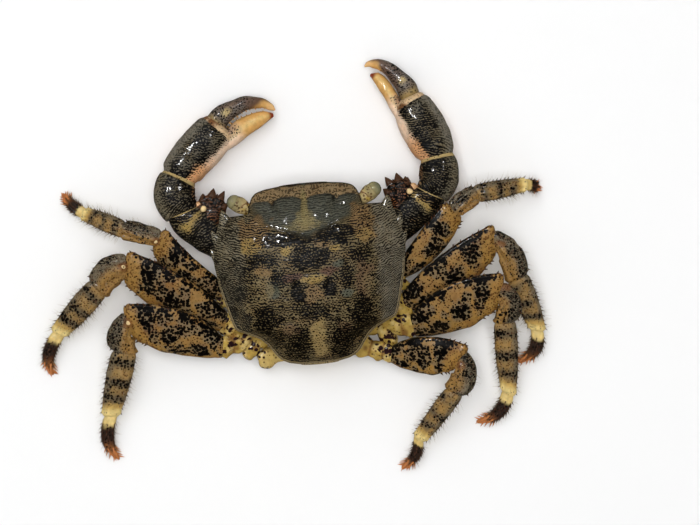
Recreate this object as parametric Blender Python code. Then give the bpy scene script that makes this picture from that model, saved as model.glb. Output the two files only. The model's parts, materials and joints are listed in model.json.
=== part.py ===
"""A shore crab, the marbled rock crab Pachygrapsus marmoratus, life size and still.

It rests on its belly, its claws and the tips of its walking legs, seen best from straight
above. The last walking leg on its left is lost, so only the first piece of it is there.
Sizes are in millimetres on the crab's own axes: +X to its right as seen from above, +Y to its
front, +Z up from the floor, with the middle of the shell over zero. Each limb is a chain of
segments. Neighbouring segments end on two parallel faces with a thin gap between them.
"""

import math
import random

import bmesh
import bpy
from mathutils import Vector

MM = 0.001
GAP = 0.3  # between the faces where two pieces meet
UP = Vector((0.0, 0.0, 1.0))
BODY_SHIFT = Vector((4.03, -0.03, 0.0))  # puts the middle of the whole spread over the origin
SPINE_SEED = 7

# Shell: half widths of its outline and heights of its ridge and rim, from rear to front
SHELL_STATIONS = (
    # y, half width, ridge height, rim height
    (-17.1, 3.6, 9.1, 8.7),
    (-16.6, 5.8, 10.1, 8.7),
    (-15.5, 7.6, 11.4, 8.7),
    (-13.6, 9.0, 12.9, 8.7),
    (-11.9, 10.5, 13.8, 8.8),
    (-10.6, 12.9, 14.3, 8.9),
    (-9.5, 15.1, 14.6, 9.0),
    (-7.2, 16.0, 15.0, 9.1),
    (-4.4, 16.7, 15.4, 9.2),
    (-1.5, 17.4, 15.6, 9.3),
    (1.2, 17.8, 15.6, 9.4),
    (4.2, 18.1, 15.4, 9.5),
    (6.8, 17.7, 15.0, 9.5),
    (9.0, 17.0, 14.4, 9.5),
    (10.8, 16.4, 13.8, 9.5),
    (11.7, 15.2, 13.4, 9.5),
)
FRONT_STATIONS = (
    # y, half width, ridge height, rim height of the brow between the eyes
    (11.9, 10.8, 13.3, 11.2),
    (12.1, 10.75, 13.2, 11.15),
    (13.2, 10.5, 12.6, 10.9),
    (14.6, 10.0, 11.6, 10.2),
    (15.6, 9.2, 10.6, 9.6),
    (16.2, 7.6, 9.8, 9.2),
    (16.6, 4.6, 9.2, 8.9),
)
SHELL_UNDERSIDE = 6.5
SIDE_SLOPE = 7.0  # how far in from the rim the flat underside begins
REAR_SIDE_SLOPE = 4.0  # the same over the hind legs
REAR_SLOPE_END = -10.0
BROW_SLOPE = 1.5
BROW_START = 12.0
BROW_THICKNESS = 1.3
RIM_THICKNESS = 0.9
RIM_INSET = 0.5
UNDERSIDE_SHARE = 0.4  # the least share of the half width that stays flat below
SHELL_DOME_POWER = 2.7
SHELL_COLUMNS = 9  # on each side of the ridge
SHELL_TOOTH_SIDES = 8
SHELL_TOOTH_DROP = 0.1  # of a tooth's tip below its base
SHELL_TEETH = (
    # base x, base y, z, tip x, tip y, radius, flatness
    (14.7, 10.2, 9.9, 15.6, 13.2, 1.5, 0.62),
    (16.7, 6.6, 9.5, 17.9, 9.4, 1.15, 0.55),
    (17.3, 3.6, 9.4, 18.5, 6.0, 0.95, 0.5),
)

# Thorax: half widths of its upright sides at these places, one flat facet for each limb
THORAX_STATIONS = (
    # y, half width, height of its underside
    (-15.9, 5.4, 0.0),
    (-12.4, 7.3, 0.0),
    (-8.4, 9.4, 0.0),
    (-3.6, 10.1, 0.0),
    (1.0, 10.1, 0.0),
    (6.6, 8.4, 0.0),
    (8.0, 7.2, 0.6),
    (11.5, 6.6, 4.6),
)
THORAX_TOP = SHELL_UNDERSIDE - GAP
THORAX_CHAMFER = 1.3
FACET_OF_CLAW = 4
FACET_OF_LEG = {1: 3, 2: 2, 3: 1, 4: 0}
ROOT_HEIGHT = 3.45

# Abdomen: the tail flap folded under the body in a groove of the thorax
FLAP_THICKNESS = 0.8
FLAP_STATIONS = (
    # y, z of its middle, half width
    (-1.6, 0.4, 1.1),
    (-4.0, 0.4, 2.2),
    (-8.0, 0.4, 3.1),
    (-12.0, 0.4, 3.9),
    (-15.9, 0.4, 4.2),
    (-16.7, 0.8, 4.2),
    (-16.9, 2.4, 4.0),
    (-16.75, 5.9, 3.6),
)
FLAP_FLAT_COUNT = 6  # stations under the belly, before the flap turns up behind it
FLAP_EDGE = 0.35  # width of the bevel along each side of the flap
GROOVE_DEPTH = FLAP_THICKNESS + GAP
CUT_OVERSHOOT = 1.0  # how far the groove's cutter reaches below and behind the thorax

# Shares of a segment's full width and depth along it
BASE_PROFILE = (
    (0.0, 0.84, 1.0),
    (0.07, 0.90, 1.1),
    (0.26, 0.92, 1.12),
    (0.40, 0.78, 0.94),
    (0.50, 0.78, 0.90),
    (0.72, 0.96, 0.94),
    (0.94, 0.96, 0.84),
    (1.0, 0.88, 0.74),
)
MERUS_PROFILE = (
    (0.0, 0.50, 0.74),
    (0.05, 0.58, 0.84),
    (0.2, 0.78, 1.0),
    (0.4, 0.95, 1.0),
    (0.6, 1.0, 0.98),
    (0.8, 0.95, 0.94),
    (0.95, 0.84, 0.88),
    (1.0, 0.74, 0.78),
)
CARPUS_PROFILE = (
    (0.0, 0.84, 0.80),
    (0.09, 0.93, 0.92),
    (0.35, 1.0, 1.0),
    (0.65, 1.0, 1.0),
    (0.9, 0.96, 0.92),
    (1.0, 0.86, 0.80),
)
PROPODUS_PROFILE = (
    (0.0, 0.86, 0.82),
    (0.06, 0.97, 0.94),
    (0.3, 1.0, 1.0),
    (0.6, 0.93, 0.9),
    (0.85, 0.84, 0.78),
    (0.96, 0.82, 0.74),
    (1.0, 0.70, 0.64),
)
DACTYL_PROFILE = (
    (0.0, 0.86, 0.86),
    (0.06, 1.0, 1.0),
    (0.3, 0.96, 0.96),
    (0.6, 0.74, 0.76),
    (0.85, 0.46, 0.5),
    (0.96, 0.28, 0.32),
    (1.0, 0.14, 0.18),
)

LEG_DEPTHS = {"base": 3.2, "merus": 2.9, "carpus": 3.2, "propodus": 2.5, "dactyl": 1.8}
LEG_ROLL = {"root": 12.0, "hip": 32.0, "knee": 26.0, "wrist": 12.0, "ankle": 4.0, "tip": 0.0}
LEG_BLEND = {"hip": 0.5, "knee": 0.38, "wrist": 0.5, "ankle": 0.5}
HELD_SHARE = 0.1  # of a segment's length at each end, where sections stay parallel to the face
LEG_SIDES = {"base": 10, "merus": 12, "carpus": 10, "propodus": 10, "dactyl": 8}
SHIN_BOW = (0.0, 0.0, 0.4)
STRAIGHT = (0.0, 0.0, 0.0)

LEGS = {
    # places of the joints, full widths of the segments, sideways bows of three of them
    "leg1_left": {
        "side": -1, "number": 1,
        "hip": (-16.8, -2.3, 4.5), "knee": (-28.1, 8.9, 8.0), "wrist": (-34.5, 11.3, 7.2),
        "ankle": (-42.3, 15.3, 2.6), "tip": (-46.1, 19.4, 0.06),
        "widths": {"base": 3.9, "merus": 6.4, "carpus": 3.7, "propodus": 3.4, "dactyl": 1.9},
        "merus_bow": (-1.2, -1.1, 0.1), "carpus_bow": (0.0, 0.2, 0.3), "dactyl_bow": (-0.2, -0.2, 0.5),
    },
    "leg2_left": {
        "side": -1, "number": 2,
        "hip": (-17.2, -7.8, 4.7), "knee": (-34.6, 4.1, 8.8), "wrist": (-40.3, 0.9, 7.3),
        "ankle": (-49.2, -7.1, 2.5), "tip": (-51.4, -14.8, 0.06),
        "widths": {"base": 3.9, "merus": 8.7, "carpus": 5.7, "propodus": 4.6, "dactyl": 2.2},
        "merus_bow": (-0.3, -0.2, 0.6), "carpus_bow": (-0.3, 1.0, 0.3), "dactyl_bow": (-1.3, -0.2, 0.5),
    },
    "leg3_left": {
        "side": -1, "number": 3,
        "hip": (-18.2, -12.5, 5.0), "knee": (-35.1, -6.3, 8.8), "wrist": (-36.5, -11.5, 7.4),
        "ankle": (-40.8, -23.6, 2.5), "tip": (-40.3, -32.2, 0.06),
        "widths": {"base": 5.0, "merus": 9.4, "carpus": 5.3, "propodus": 4.8, "dactyl": 2.2},
        "merus_bow": (0.0, 0.5, 0.6), "carpus_bow": (-0.9, -0.1, 0.3), "dactyl_bow": (-1.3, -0.3, 0.5),
    },
    "leg1_right": {
        "side": 1, "number": 1,
        "hip": (17.0, -1.5, 4.8), "knee": (27.8, 9.0, 8.3), "wrist": (32.2, 11.6, 7.7),
        "ankle": (41.9, 12.6, 4.8), "tip": (44.4, 11.9, 0.05),
        "widths": {"base": 3.9, "merus": 5.9, "carpus": 3.8, "propodus": 3.5, "dactyl": 1.9},
        "merus_bow": (0.4, -0.5, 0.6), "carpus_bow": (0.0, 0.2, 0.3), "dactyl_bow": (0.4, 0.0, 0.6),
    },
    "leg2_right": {
        "side": 1, "number": 2,
        "hip": (17.2, -7.3, 4.7), "knee": (34.8, 2.5, 8.8), "wrist": (38.5, -4.7, 7.3),
        "ankle": (41.7, -15.1, 2.5), "tip": (37.4, -20.9, 0.06),
        "widths": {"base": 3.9, "merus": 8.6, "carpus": 5.0, "propodus": 4.4, "dactyl": 2.2},
        "merus_bow": (0.3, -0.4, 0.6), "carpus_bow": (0.8, 0.5, 0.3), "dactyl_bow": (1.3, -0.9, 0.5),
    },
    "leg3_right": {
        "side": 1, "number": 3,
        "hip": (18.2, -11.9, 5.0), "knee": (34.9, -7.3, 8.8), "wrist": (35.4, -12.7, 7.4),
        "ankle": (35.0, -26.6, 2.5), "tip": (28.7, -31.6, 0.06),
        "widths": {"base": 4.9, "merus": 9.9, "carpus": 5.0, "propodus": 4.3, "dactyl": 2.2},
        "merus_bow": (0.0, 0.3, 0.6), "carpus_bow": (1.1, 0.0, 0.3), "dactyl_bow": (0.9, -1.1, 0.5),
    },
    "leg4_right": {
        "side": 1, "number": 4,
        "hip": (13.7, -16.9, 4.4), "knee": (26.3, -19.1, 8.2), "wrist": (24.8, -24.9, 7.2),
        "ankle": (17.3, -33.6, 2.5), "tip": (13.6, -39.0, 0.06),
        "widths": {"base": 4.4, "merus": 7.8, "carpus": 4.8, "propodus": 3.7, "dactyl": 1.9},
        "merus_bow": (0.0, 0.1, 0.6), "carpus_bow": (1.0, -0.3, 0.3), "dactyl_bow": (0.8, -0.5, 0.5),
    },
}
STUMP_END = (-11.7, -15.9, 3.9)
STUMP_WIDTH = 3.8
STUMP_SIDES = 12
STUMP_ROLLS = (-12.0, -20.0)
STUMP_PROFILE = (
    (0.0, 0.86, 0.86),
    (0.1, 0.98, 0.98),
    (0.6, 1.0, 1.0),
    (0.92, 0.94, 0.94),
    (1.0, 0.84, 0.84),
)
STUMP_SOCKET_RADIUS = 1.15
STUMP_SOCKET_DEPTH = 1.2
STUMP_SOCKET_SIDES = 10
STUMP_SOCKET_START = 0.3  # beyond the stump's end, so the cut opens cleanly

# Claws: each station is x, y, z, full width, full depth, through its joints
CLAW_BASE_WIDTH = 4.9
CLAW_BASE_DEPTH = 4.1
CLAW_SIDES = 14
THUMB_SIDES = 10
FINGER_SIDES = 12
CLAWS = {
    "claw_left": {
        "side": -1,
        "merus": (
            (-15.4, 4.9, 4.4, 4.6, 3.8),
            (-16.6, 6.6, 4.6, 6.0, 4.6),
            (-19.4, 9.6, 5.0, 7.4, 5.2),
            (-22.0, 12.0, 5.5, 7.4, 5.2),
            (-22.9, 13.2, 5.6, 6.6, 4.8),
        ),
        "knee_normal": (-0.30, 0.95, 0.05),
        "carpus": (
            (-23.0, 13.3, 5.6, 6.0, 4.8),
            (-23.9, 14.7, 5.6, 7.4, 6.2),
            (-24.5, 16.9, 5.5, 7.9, 6.8),
            (-24.1, 18.9, 5.2, 7.6, 6.6),
            (-23.4, 20.1, 4.9, 6.6, 5.6),
        ),
        "wrist_normal": (0.47, 0.88, -0.05),
        "palm": (
            (-23.3, 20.3, 4.8, 6.4, 5.4),
            (-22.6, 21.5, 4.5, 7.6, 6.8),
            (-20.8, 23.5, 3.9, 8.1, 7.8),
            (-18.4, 25.7, 3.8, 8.4, 8.0),
            (-16.2, 27.8, 3.8, 8.0, 7.0),
            (-15.1, 28.8, 3.7, 6.9, 5.9),
        ),
        "finger_normal": (0.74, 0.67, 0.0),
        "thumb": (
            (-15.0, 26.1, 3.4, 3.2, 4.0),
            (-12.4, 27.2, 3.3, 2.7, 4.0),
            (-10.3, 28.6, 3.1, 2.7, 3.6),
            (-8.2, 29.7, 2.9, 2.5, 3.0),
            (-6.2, 30.4, 2.7, 1.9, 2.3),
            (-4.6, 30.5, 2.6, 0.7, 0.9),
        ),
        "dactyl": (
            (-15.6, 29.9, 3.7, 4.0, 4.4),
            (-14.3, 31.2, 3.7, 3.9, 4.5),
            (-11.9, 32.4, 3.6, 3.1, 3.9),
            (-9.2, 33.2, 3.3, 2.6, 3.2),
            (-6.6, 33.0, 3.0, 2.0, 2.4),
            (-4.9, 32.1, 2.8, 1.4, 1.6),
            (-4.2, 31.5, 2.7, 0.5, 0.7),
        ),
        "lobe": ((-19.2, 10.4, 6.2), (-16.7, 15.2, 6.4)),
        "lobe_teeth": ((-18.9, 16.7), (-16.9, 17.6), (-14.9, 16.9)),
        "tooth_size": 1.0,
    },
    "claw_right": {
        "side": 1,
        "merus": (
            (15.4, 4.9, 4.4, 4.6, 3.8),
            (16.8, 6.6, 4.6, 6.0, 4.6),
            (19.6, 9.3, 5.0, 7.2, 5.2),
            (22.4, 11.5, 5.5, 7.0, 5.2),
            (23.6, 12.4, 5.6, 6.2, 4.8),
        ),
        "knee_normal": (0.50, 0.86, 0.05),
        "carpus": (
            (23.8, 12.6, 5.6, 5.8, 4.8),
            (24.9, 13.7, 5.6, 7.0, 6.2),
            (25.7, 15.6, 5.5, 7.6, 6.8),
            (25.9, 17.8, 5.2, 7.3, 6.6),
            (25.8, 19.2, 4.9, 6.4, 5.6),
        ),
        "wrist_normal": (-0.15, 0.985, -0.05),
        "palm": (
            (25.75, 19.5, 4.8, 6.2, 5.4),
            (25.4, 20.8, 4.5, 7.5, 6.8),
            (24.6, 23.2, 3.9, 8.4, 7.8),
            (23.4, 26.0, 3.8, 8.5, 8.0),
            (22.2, 29.0, 3.8, 7.6, 7.0),
            (21.6, 30.4, 3.7, 6.2, 5.9),
        ),
        "finger_normal": (-0.42, 0.91, 0.0),
        "thumb": (
            (20.3, 28.0, 3.4, 3.0, 4.0),
            (18.9, 30.2, 3.3, 2.2, 4.0),
            (18.1, 32.3, 3.1, 2.1, 3.6),
            (17.1, 34.2, 2.9, 2.1, 3.0),
            (16.0, 35.7, 2.7, 1.9, 2.3),
            (14.8, 36.3, 2.6, 0.7, 0.9),
        ),
        "dactyl": (
            (21.7, 31.9, 3.7, 3.9, 4.4),
            (21.3, 33.2, 3.7, 3.8, 4.5),
            (19.9, 35.2, 3.6, 3.1, 3.9),
            (18.2, 37.1, 3.3, 2.5, 3.2),
            (16.2, 38.2, 3.0, 2.0, 2.4),
            (14.6, 38.4, 2.8, 1.2, 1.6),
            (13.9, 38.1, 2.7, 0.5, 0.7),
        ),
        "lobe": ((19.2, 10.4, 6.2), (17.3, 14.8, 6.4)),
        "lobe_teeth": ((15.5, 16.6), (17.7, 17.2), (19.4, 16.4)),
        "tooth_size": 0.2,
    },
}
LOBE_WIDTH = 5.4
LOBE_DEPTH = 1.9
LOBE_TAPER = 0.72
LOBE_SIDES = 10
LOBE_TOOTH_RADIUS = 1.15
LOBE_TOOTH_FLATNESS = 0.7
LOBE_TOOTH_SIDES = 6
LOBE_TOOTH_DROP = 0.2  # of a tooth's tip below the lobe's end

# Rounded teeth where the two fingers of a claw face each other: share, length, root radius
THUMB_TEETH = ((0.34, 0.6, 0.55), (0.5, 0.5, 0.45), (0.66, 0.25, 0.35))
FINGER_TEETH = ((0.27, 0.5, 0.55), (0.42, 0.5, 0.5), (0.58, 0.25, 0.4))
TOOTH_TAPER = 0.5

# Head pieces, given for the right side
STALK = (
    (11.45, 13.2, 8.9, 2.3, 2.3),
    (11.75, 13.45, 9.0, 2.8, 2.7),
    (12.3, 13.85, 9.2, 3.1, 2.9),
    (12.95, 14.25, 9.4, 2.9, 2.8),
)
STALK_NORMALS = ((0.8, 0.6, 0.12), (0.82, 0.56, 0.12))
HEAD_SIDES = {"stalk": 12, "eye": 12, "antenna": 8, "mouth": 10}
MOUTH_POWER = 2.8  # how square the mouth plates' sections are
ANTENNA_START = (0.0, 1.0, 0.0)
ANTENNA_END = (0.9, 0.4, -0.4)
CORNEA_LIFT = 0.12  # of the cornea off the stalk's end, added to its own stations
CORNEA = (
    (13.1, 14.35, 9.45, 2.8, 2.8),
    (13.5, 14.62, 9.5, 2.8, 2.8),
    (13.95, 14.93, 9.6, 2.1, 2.1),
    (14.25, 15.13, 9.65, 1.0, 1.0),
)
ANTENNA = (
    (6.6, 12.45, 8.0, 1.3, 1.2),
    (7.0, 13.1, 7.7, 1.1, 1.0),
    (7.6, 13.7, 7.0, 0.8, 0.8),
    (8.2, 14.0, 6.0, 0.62, 0.62),
    (8.8, 14.2, 4.9, 0.5, 0.5),
)
MOUTH_PLATE = (
    # share up the thorax's front slope, x, full width, full depth
    (0.20, 3.0, 3.4, 1.0),
    (0.34, 3.1, 4.2, 1.3),
    (0.62, 3.1, 4.1, 1.3),
    (0.88, 3.3, 3.6, 1.2),
    (1.12, 3.6, 2.4, 1.0),
)
MOUTH_CLEARANCE = GAP + 0.7

# Small spines: share along the segment, angle round it in degrees, length, root radius
LEG_SPINES = {
    "merus": (
        (0.955, 12.0, 1.2, 0.5),
        (0.88, 4.0, 0.8, 0.42),
        (0.81, 2.0, 0.6, 0.36),
        (0.95, 168.0, 0.8, 0.42),
        (0.88, 176.0, 0.6, 0.36),
    ),
    "carpus": ((0.9, 20.0, 0.6, 0.34),),
    "propodus": (
        (0.95, 12.0, 0.9, 0.27),
        (0.95, 165.0, 0.9, 0.27),
        (0.72, 176.0, 0.8, 0.26),
        (0.48, 178.0, 0.7, 0.26),
        (0.6, 6.0, 0.6, 0.26),
    ),
}
DACTYL_ROWS = (0.0, 90.0, 180.0)  # angles of the rows of spines round a walking dactyl
DACTYL_ROW_SHARES = (0.2, 0.38, 0.56, 0.74)
DACTYL_SPINE = (0.95, 0.26)
DACTYL_SPINE_THINNING = 0.45  # share of its size that a spine at the very tip would lose
DACTYL_SPINE_LEAN = 0.9
DACTYL_SPINE_SPREAD = (0.85, 1.15)  # least and greatest length against the length given
SPINE_SPREAD = (0.9, 1.1)
SPINE_LEAN = 0.5
SPINE_SIDES = 5
SPINE_TAPER = 0.16
SPINE_SINK = (1.3, 0.4)  # root radii that a spine starts below the surface and back along itself
SHARP_EDGE = 50.0  # degrees, from where an edge stays sharp in the shading

LOOKS = {
    # colour and roughness
    "shell": ((0.16, 0.14, 0.09), 0.3),
    "limb": ((0.30, 0.20, 0.08), 0.4),
    "claw": ((0.10, 0.09, 0.10), 0.3),
    "finger": ((0.16, 0.10, 0.13), 0.3),
    "belly": ((0.62, 0.52, 0.36), 0.5),
    "eyestalk": ((0.45, 0.40, 0.22), 0.4),
    "eye": ((0.05, 0.06, 0.05), 0.12),
}


def material(name, colour, roughness):
    """A Principled material of one colour."""
    made = bpy.data.materials.new(name)
    made.use_nodes = True
    principled = made.node_tree.nodes["Principled BSDF"]
    principled.inputs["Base Color"].default_value = (*colour, 1.0)
    principled.inputs["Roughness"].default_value = roughness
    principled.inputs["Metallic"].default_value = 0.0
    return made


def frame_at(normal, roll):
    """The directions across and through a section that is square to `normal`."""
    level = UP.cross(normal).normalized()
    upright = normal.cross(level)
    turn = math.radians(roll)
    across = level * math.cos(turn) + upright * math.sin(turn)
    through = upright * math.cos(turn) - level * math.sin(turn)
    return across, through


class Limb:
    """One segment: oval sections set along a line between its two end faces."""

    def __init__(self, centres, normals, rolls, widths, depths, shares, sides, power=2.3):
        self.centres = centres
        self.shares = shares
        self.normals = [normal.normalized() for normal in normals]
        self.rolls = rolls
        self.halves = [(width / 2, depth / 2) for width, depth in zip(widths, depths)]
        self.sides = sides
        self.power = power

    def point(self, row, angle):
        """A point of the surface on one section, `angle` round from its wide axis."""
        across, through = frame_at(self.normals[row], self.rolls[row])
        half_width, half_depth = self.halves[row]
        c = math.cos(angle)
        s = math.sin(angle)
        flat = 2.0 / self.power
        wide = math.copysign(abs(c) ** flat, c) * half_width
        deep = math.copysign(abs(s) ** flat, s) * half_depth
        return self.centres[row] + across * wide + through * deep

    def rings(self):
        """Every section's corners, in order along the segment."""
        turns = [2 * math.pi * i / self.sides for i in range(self.sides)]
        return [[self.point(row, turn) for turn in turns] for row in range(len(self.centres))]

    def place(self, share, degrees):
        """A surface point at a share of the length, the way out there and the way along."""
        row = max(i for i, start in enumerate(self.shares[:-1]) if start <= share)
        rest = (share - self.shares[row]) / (self.shares[row + 1] - self.shares[row])
        angle = math.radians(degrees)
        here = self.point(row, angle).lerp(self.point(row + 1, angle), rest)
        middle = self.centres[row].lerp(self.centres[row + 1], rest)
        along = (self.centres[row + 1] - self.centres[row]).normalized()
        outward = here - middle
        outward = (outward - along * outward.dot(along)).normalized()
        return here, outward, along


def bowed(start, start_normal, end, end_normal, bow, profile, size, sides, rolls):
    """A segment between two joint planes, its middle pushed sideways by `bow`."""
    width, depth = size
    chord = (end - start).normalized()
    centres = []
    normals = []
    turns = []
    for share, _, _ in profile:
        centres.append(start.lerp(end, share) + Vector(bow) * (4 * share * (1 - share)))
        near = start_normal if share < 0.5 else end_normal
        inward = 0.5 - abs(share - 0.5)
        normals.append(near.lerp(chord, min(max(inward - HELD_SHARE, 0) / (0.5 - HELD_SHARE), 1)))
        turns.append(rolls[0] + (rolls[1] - rolls[0]) * share)
    widths = [width * row[1] for row in profile]
    depths = [depth * row[2] for row in profile]
    shares = [row[0] for row in profile]
    return Limb(centres, normals, turns, widths, depths, shares, sides)


def through(stations, first_normal, last_normal, sides, power=2.3, roll=0.0):
    """A segment through stations of x, y, z, width and depth."""
    centres = [Vector(station[:3]) for station in stations]
    normals = [Vector(first_normal)]
    for before, after in zip(centres, centres[2:]):
        normals.append(after - before)
    normals.append(Vector(last_normal))
    widths = [station[3] for station in stations]
    depths = [station[4] for station in stations]
    lengths = [(after - before).length for before, after in zip(centres, centres[1:])]
    shares = [sum(lengths[:i]) / sum(lengths) for i in range(len(centres))]
    rolls = [roll] * len(stations)
    return Limb(centres, normals, rolls, widths, depths, shares, sides, power)


def seated(stations, face, normal):
    """The same stations with the first one set over a neighbour's end face, a gap away."""
    first = face + Vector(normal).normalized() * GAP
    return ((*first, *stations[0][3:]), *stations[1:])


def mirrored(stations):
    """The same stations on the other side of the body."""
    return tuple((-station[0], *station[1:]) for station in stations)


def closed_shape(rings):
    """A closed skin over the rings, with a flat cap on each end."""
    shape = bmesh.new()
    rows = [[shape.verts.new(point * MM) for point in ring] for ring in rings]
    count = len(rings[0])
    for row, following in zip(rows, rows[1:]):
        for i in range(count):
            j = (i + 1) % count
            shape.faces.new((row[i], row[j], following[j], following[i]))
    shape.faces.new(list(reversed(rows[0])))
    shape.faces.new(rows[-1])
    bmesh.ops.recalc_face_normals(shape, faces=shape.faces)
    return shape


def node(name, rings, look, collection, root):
    """One object of the part, made of the skin over the rings."""
    skin = closed_shape(rings)
    mesh = bpy.data.meshes.new(name)
    skin.to_mesh(mesh)
    skin.free()
    mesh.shade_smooth()
    mesh.set_sharp_from_angle(angle=math.radians(SHARP_EDGE))
    mesh.materials.append(look)
    made = bpy.data.objects.new(name, mesh)
    made.parent = root
    collection.objects.link(made)
    return made


def cone(base, tip, radius, flatness=1.0, sides=SPINE_SIDES, taper=SPINE_TAPER):
    """A tapering spine or tooth from its sunk root to its tip."""
    shape = bmesh.new()
    length = (tip - base).length
    bmesh.ops.create_cone(
        shape, cap_ends=True, segments=sides, radius1=radius, radius2=radius * taper, depth=length
    )
    bmesh.ops.scale(shape, vec=(1.0, flatness, 1.0), verts=shape.verts)
    bmesh.ops.translate(shape, vec=(0.0, 0.0, length / 2), verts=shape.verts)
    turn = (tip - base).to_track_quat("Z", "Y").to_matrix()
    bmesh.ops.rotate(shape, matrix=turn, verts=shape.verts)
    bmesh.ops.translate(shape, vec=base, verts=shape.verts)
    bmesh.ops.scale(shape, vec=(MM, MM, MM), verts=shape.verts)
    return shape


def keep_largest(mesh):
    """Drops every closed surface of the mesh but the one with the most faces."""
    shape = bmesh.new()
    shape.from_mesh(mesh)
    unseen = set(shape.faces)
    groups = []
    while unseen:
        stack = [unseen.pop()]
        group = []
        while stack:
            face = stack.pop()
            group.append(face)
            for edge in face.edges:
                for other in edge.link_faces:
                    if other in unseen:
                        unseen.remove(other)
                        stack.append(other)
        groups.append(group)
    groups.sort(key=len)
    for group in groups[:-1]:
        bmesh.ops.delete(shape, geom=group, context="FACES")
    shape.to_mesh(mesh)
    shape.free()


def combine(target, shapes, operation="UNION"):
    """Joins closed shapes to the node, or cuts them from it, and applies that."""
    tools = bpy.data.collections.new(target.name + "_tools")
    bpy.context.scene.collection.children.link(tools)
    for shape in shapes:
        mesh = bpy.data.meshes.new("tool")
        shape.to_mesh(mesh)
        shape.free()
        tool = bpy.data.objects.new("tool", mesh)
        tool.parent = target.parent
        tool.display_type = "WIRE"
        tool.hide_render = True
        tools.objects.link(tool)
    boolean = target.modifiers.new("pieces", "BOOLEAN")
    boolean.operand_type = "COLLECTION"
    boolean.collection = tools
    boolean.operation = operation
    boolean.solver = "EXACT"
    bpy.context.view_layer.update()
    evaluated = target.evaluated_get(bpy.context.evaluated_depsgraph_get())
    joined = bpy.data.meshes.new_from_object(evaluated)
    target.modifiers.remove(boolean)
    keep_largest(joined)
    joined.name = target.name
    target.data = joined
    for tool in list(tools.objects):
        bpy.data.objects.remove(tool)
    bpy.data.collections.remove(tools)


def rest_on_floor(target):
    """Cuts off what would reach below the floor and closes the cut with a flat."""
    shape = bmesh.new()
    shape.from_mesh(target.data)
    everything = list(shape.verts) + list(shape.edges) + list(shape.faces)
    bmesh.ops.bisect_plane(
        shape, geom=everything, plane_co=(0, 0, 0), plane_no=(0, 0, -1), clear_outer=True
    )
    rim = [edge for edge in shape.edges if edge.is_boundary]
    if rim:
        bmesh.ops.holes_fill(shape, edges=rim)
    bmesh.ops.recalc_face_normals(shape, faces=shape.faces)
    shape.to_mesh(target.data)
    shape.free()


def spine_on(limb, share, degrees, length, radius, lean=SPINE_LEAN, taper=SPINE_TAPER):
    """A spine or tooth that stands on a segment and leans along it."""
    here, outward, along = limb.place(share, degrees)
    way = (outward + along * lean).normalized()
    below, back = SPINE_SINK
    base = here - outward * radius * below - way * radius * back
    return cone(base, here + way * length, radius, taper=taper)


def shell_section(y, half_width, ridge, rim, underside, flat_half):
    """The corners of one cross-section of the shell: the dome, the rim and the underside."""
    dome = []
    for i in range(-SHELL_COLUMNS, SHELL_COLUMNS + 1):
        share = math.sin(0.5 * math.pi * i / SHELL_COLUMNS)
        height = ridge - (ridge - rim) * abs(share) ** SHELL_DOME_POWER
        dome.append(Vector((-share * half_width, y, height)))
    lip = rim - RIM_THICKNESS
    outer = half_width - RIM_INSET
    inner = max(flat_half, UNDERSIDE_SHARE * half_width)
    under = [
        Vector((-outer, y, lip)),
        Vector((-inner, y, underside)),
        Vector((-inner / 2, y, underside)),
        Vector((inner / 2, y, underside)),
        Vector((inner, y, underside)),
        Vector((outer, y, lip)),
    ]
    return dome + under


def make_shell(look, collection, root):
    """The one-piece shield over the body, with a brow between the eyes and teeth on its sides."""
    rings = []
    for y, half_width, ridge, rim in SHELL_STATIONS:
        flat_half = half_width - (REAR_SIDE_SLOPE if y < REAR_SLOPE_END else SIDE_SLOPE)
        rings.append(shell_section(y, half_width, ridge, rim, SHELL_UNDERSIDE, flat_half))
    for y, half_width, ridge, rim in FRONT_STATIONS:
        underside = SHELL_UNDERSIDE if y < BROW_START else rim - BROW_THICKNESS
        flat_half = half_width - BROW_SLOPE
        rings.append(shell_section(y, half_width, ridge, rim, underside, flat_half))
    shell = node("carapace", rings, look, collection, root)
    teeth = []
    for side in (-1, 1):
        for base_x, base_y, height, tip_x, tip_y, radius, flatness in SHELL_TEETH:
            base = Vector((side * base_x, base_y, height))
            tip = Vector((side * tip_x, tip_y, height - SHELL_TOOTH_DROP))
            teeth.append(cone(base, tip, radius, flatness, SHELL_TOOTH_SIDES))
    combine(shell, teeth)


def make_thorax(look, collection, root):
    """The body under the shell: a flat belly with the flap's groove, and a facet for each limb."""
    rings = []
    for y, half, low in THORAX_STATIONS:
        foot = half - THORAX_CHAMFER
        right = [(foot, low), (half, low + THORAX_CHAMFER), (half, THORAX_TOP)]
        outline = [(-x, z) for x, z in right][::-1] + right
        rings.append([Vector((x, y, z)) for x, z in outline])
    thorax = node("thorax", rings, look, collection, root)
    places = [(y, half) for y, _, half in FLAP_STATIONS[:FLAP_FLAT_COUNT]]
    places[0] = (places[0][0] + GAP, places[0][1])
    places[-1] = (THORAX_STATIONS[0][0] - CUT_OVERSHOOT, places[-1][1])
    groove = []
    for y, half in places:
        wide = half + GAP
        floor = -CUT_OVERSHOOT
        corners = [(-wide, floor), (wide, floor), (wide, GROOVE_DEPTH), (-wide, GROOVE_DEPTH)]
        groove.append([Vector((x, y, z)) for x, z in corners])
    combine(thorax, [closed_shape(groove)], "DIFFERENCE")


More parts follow.
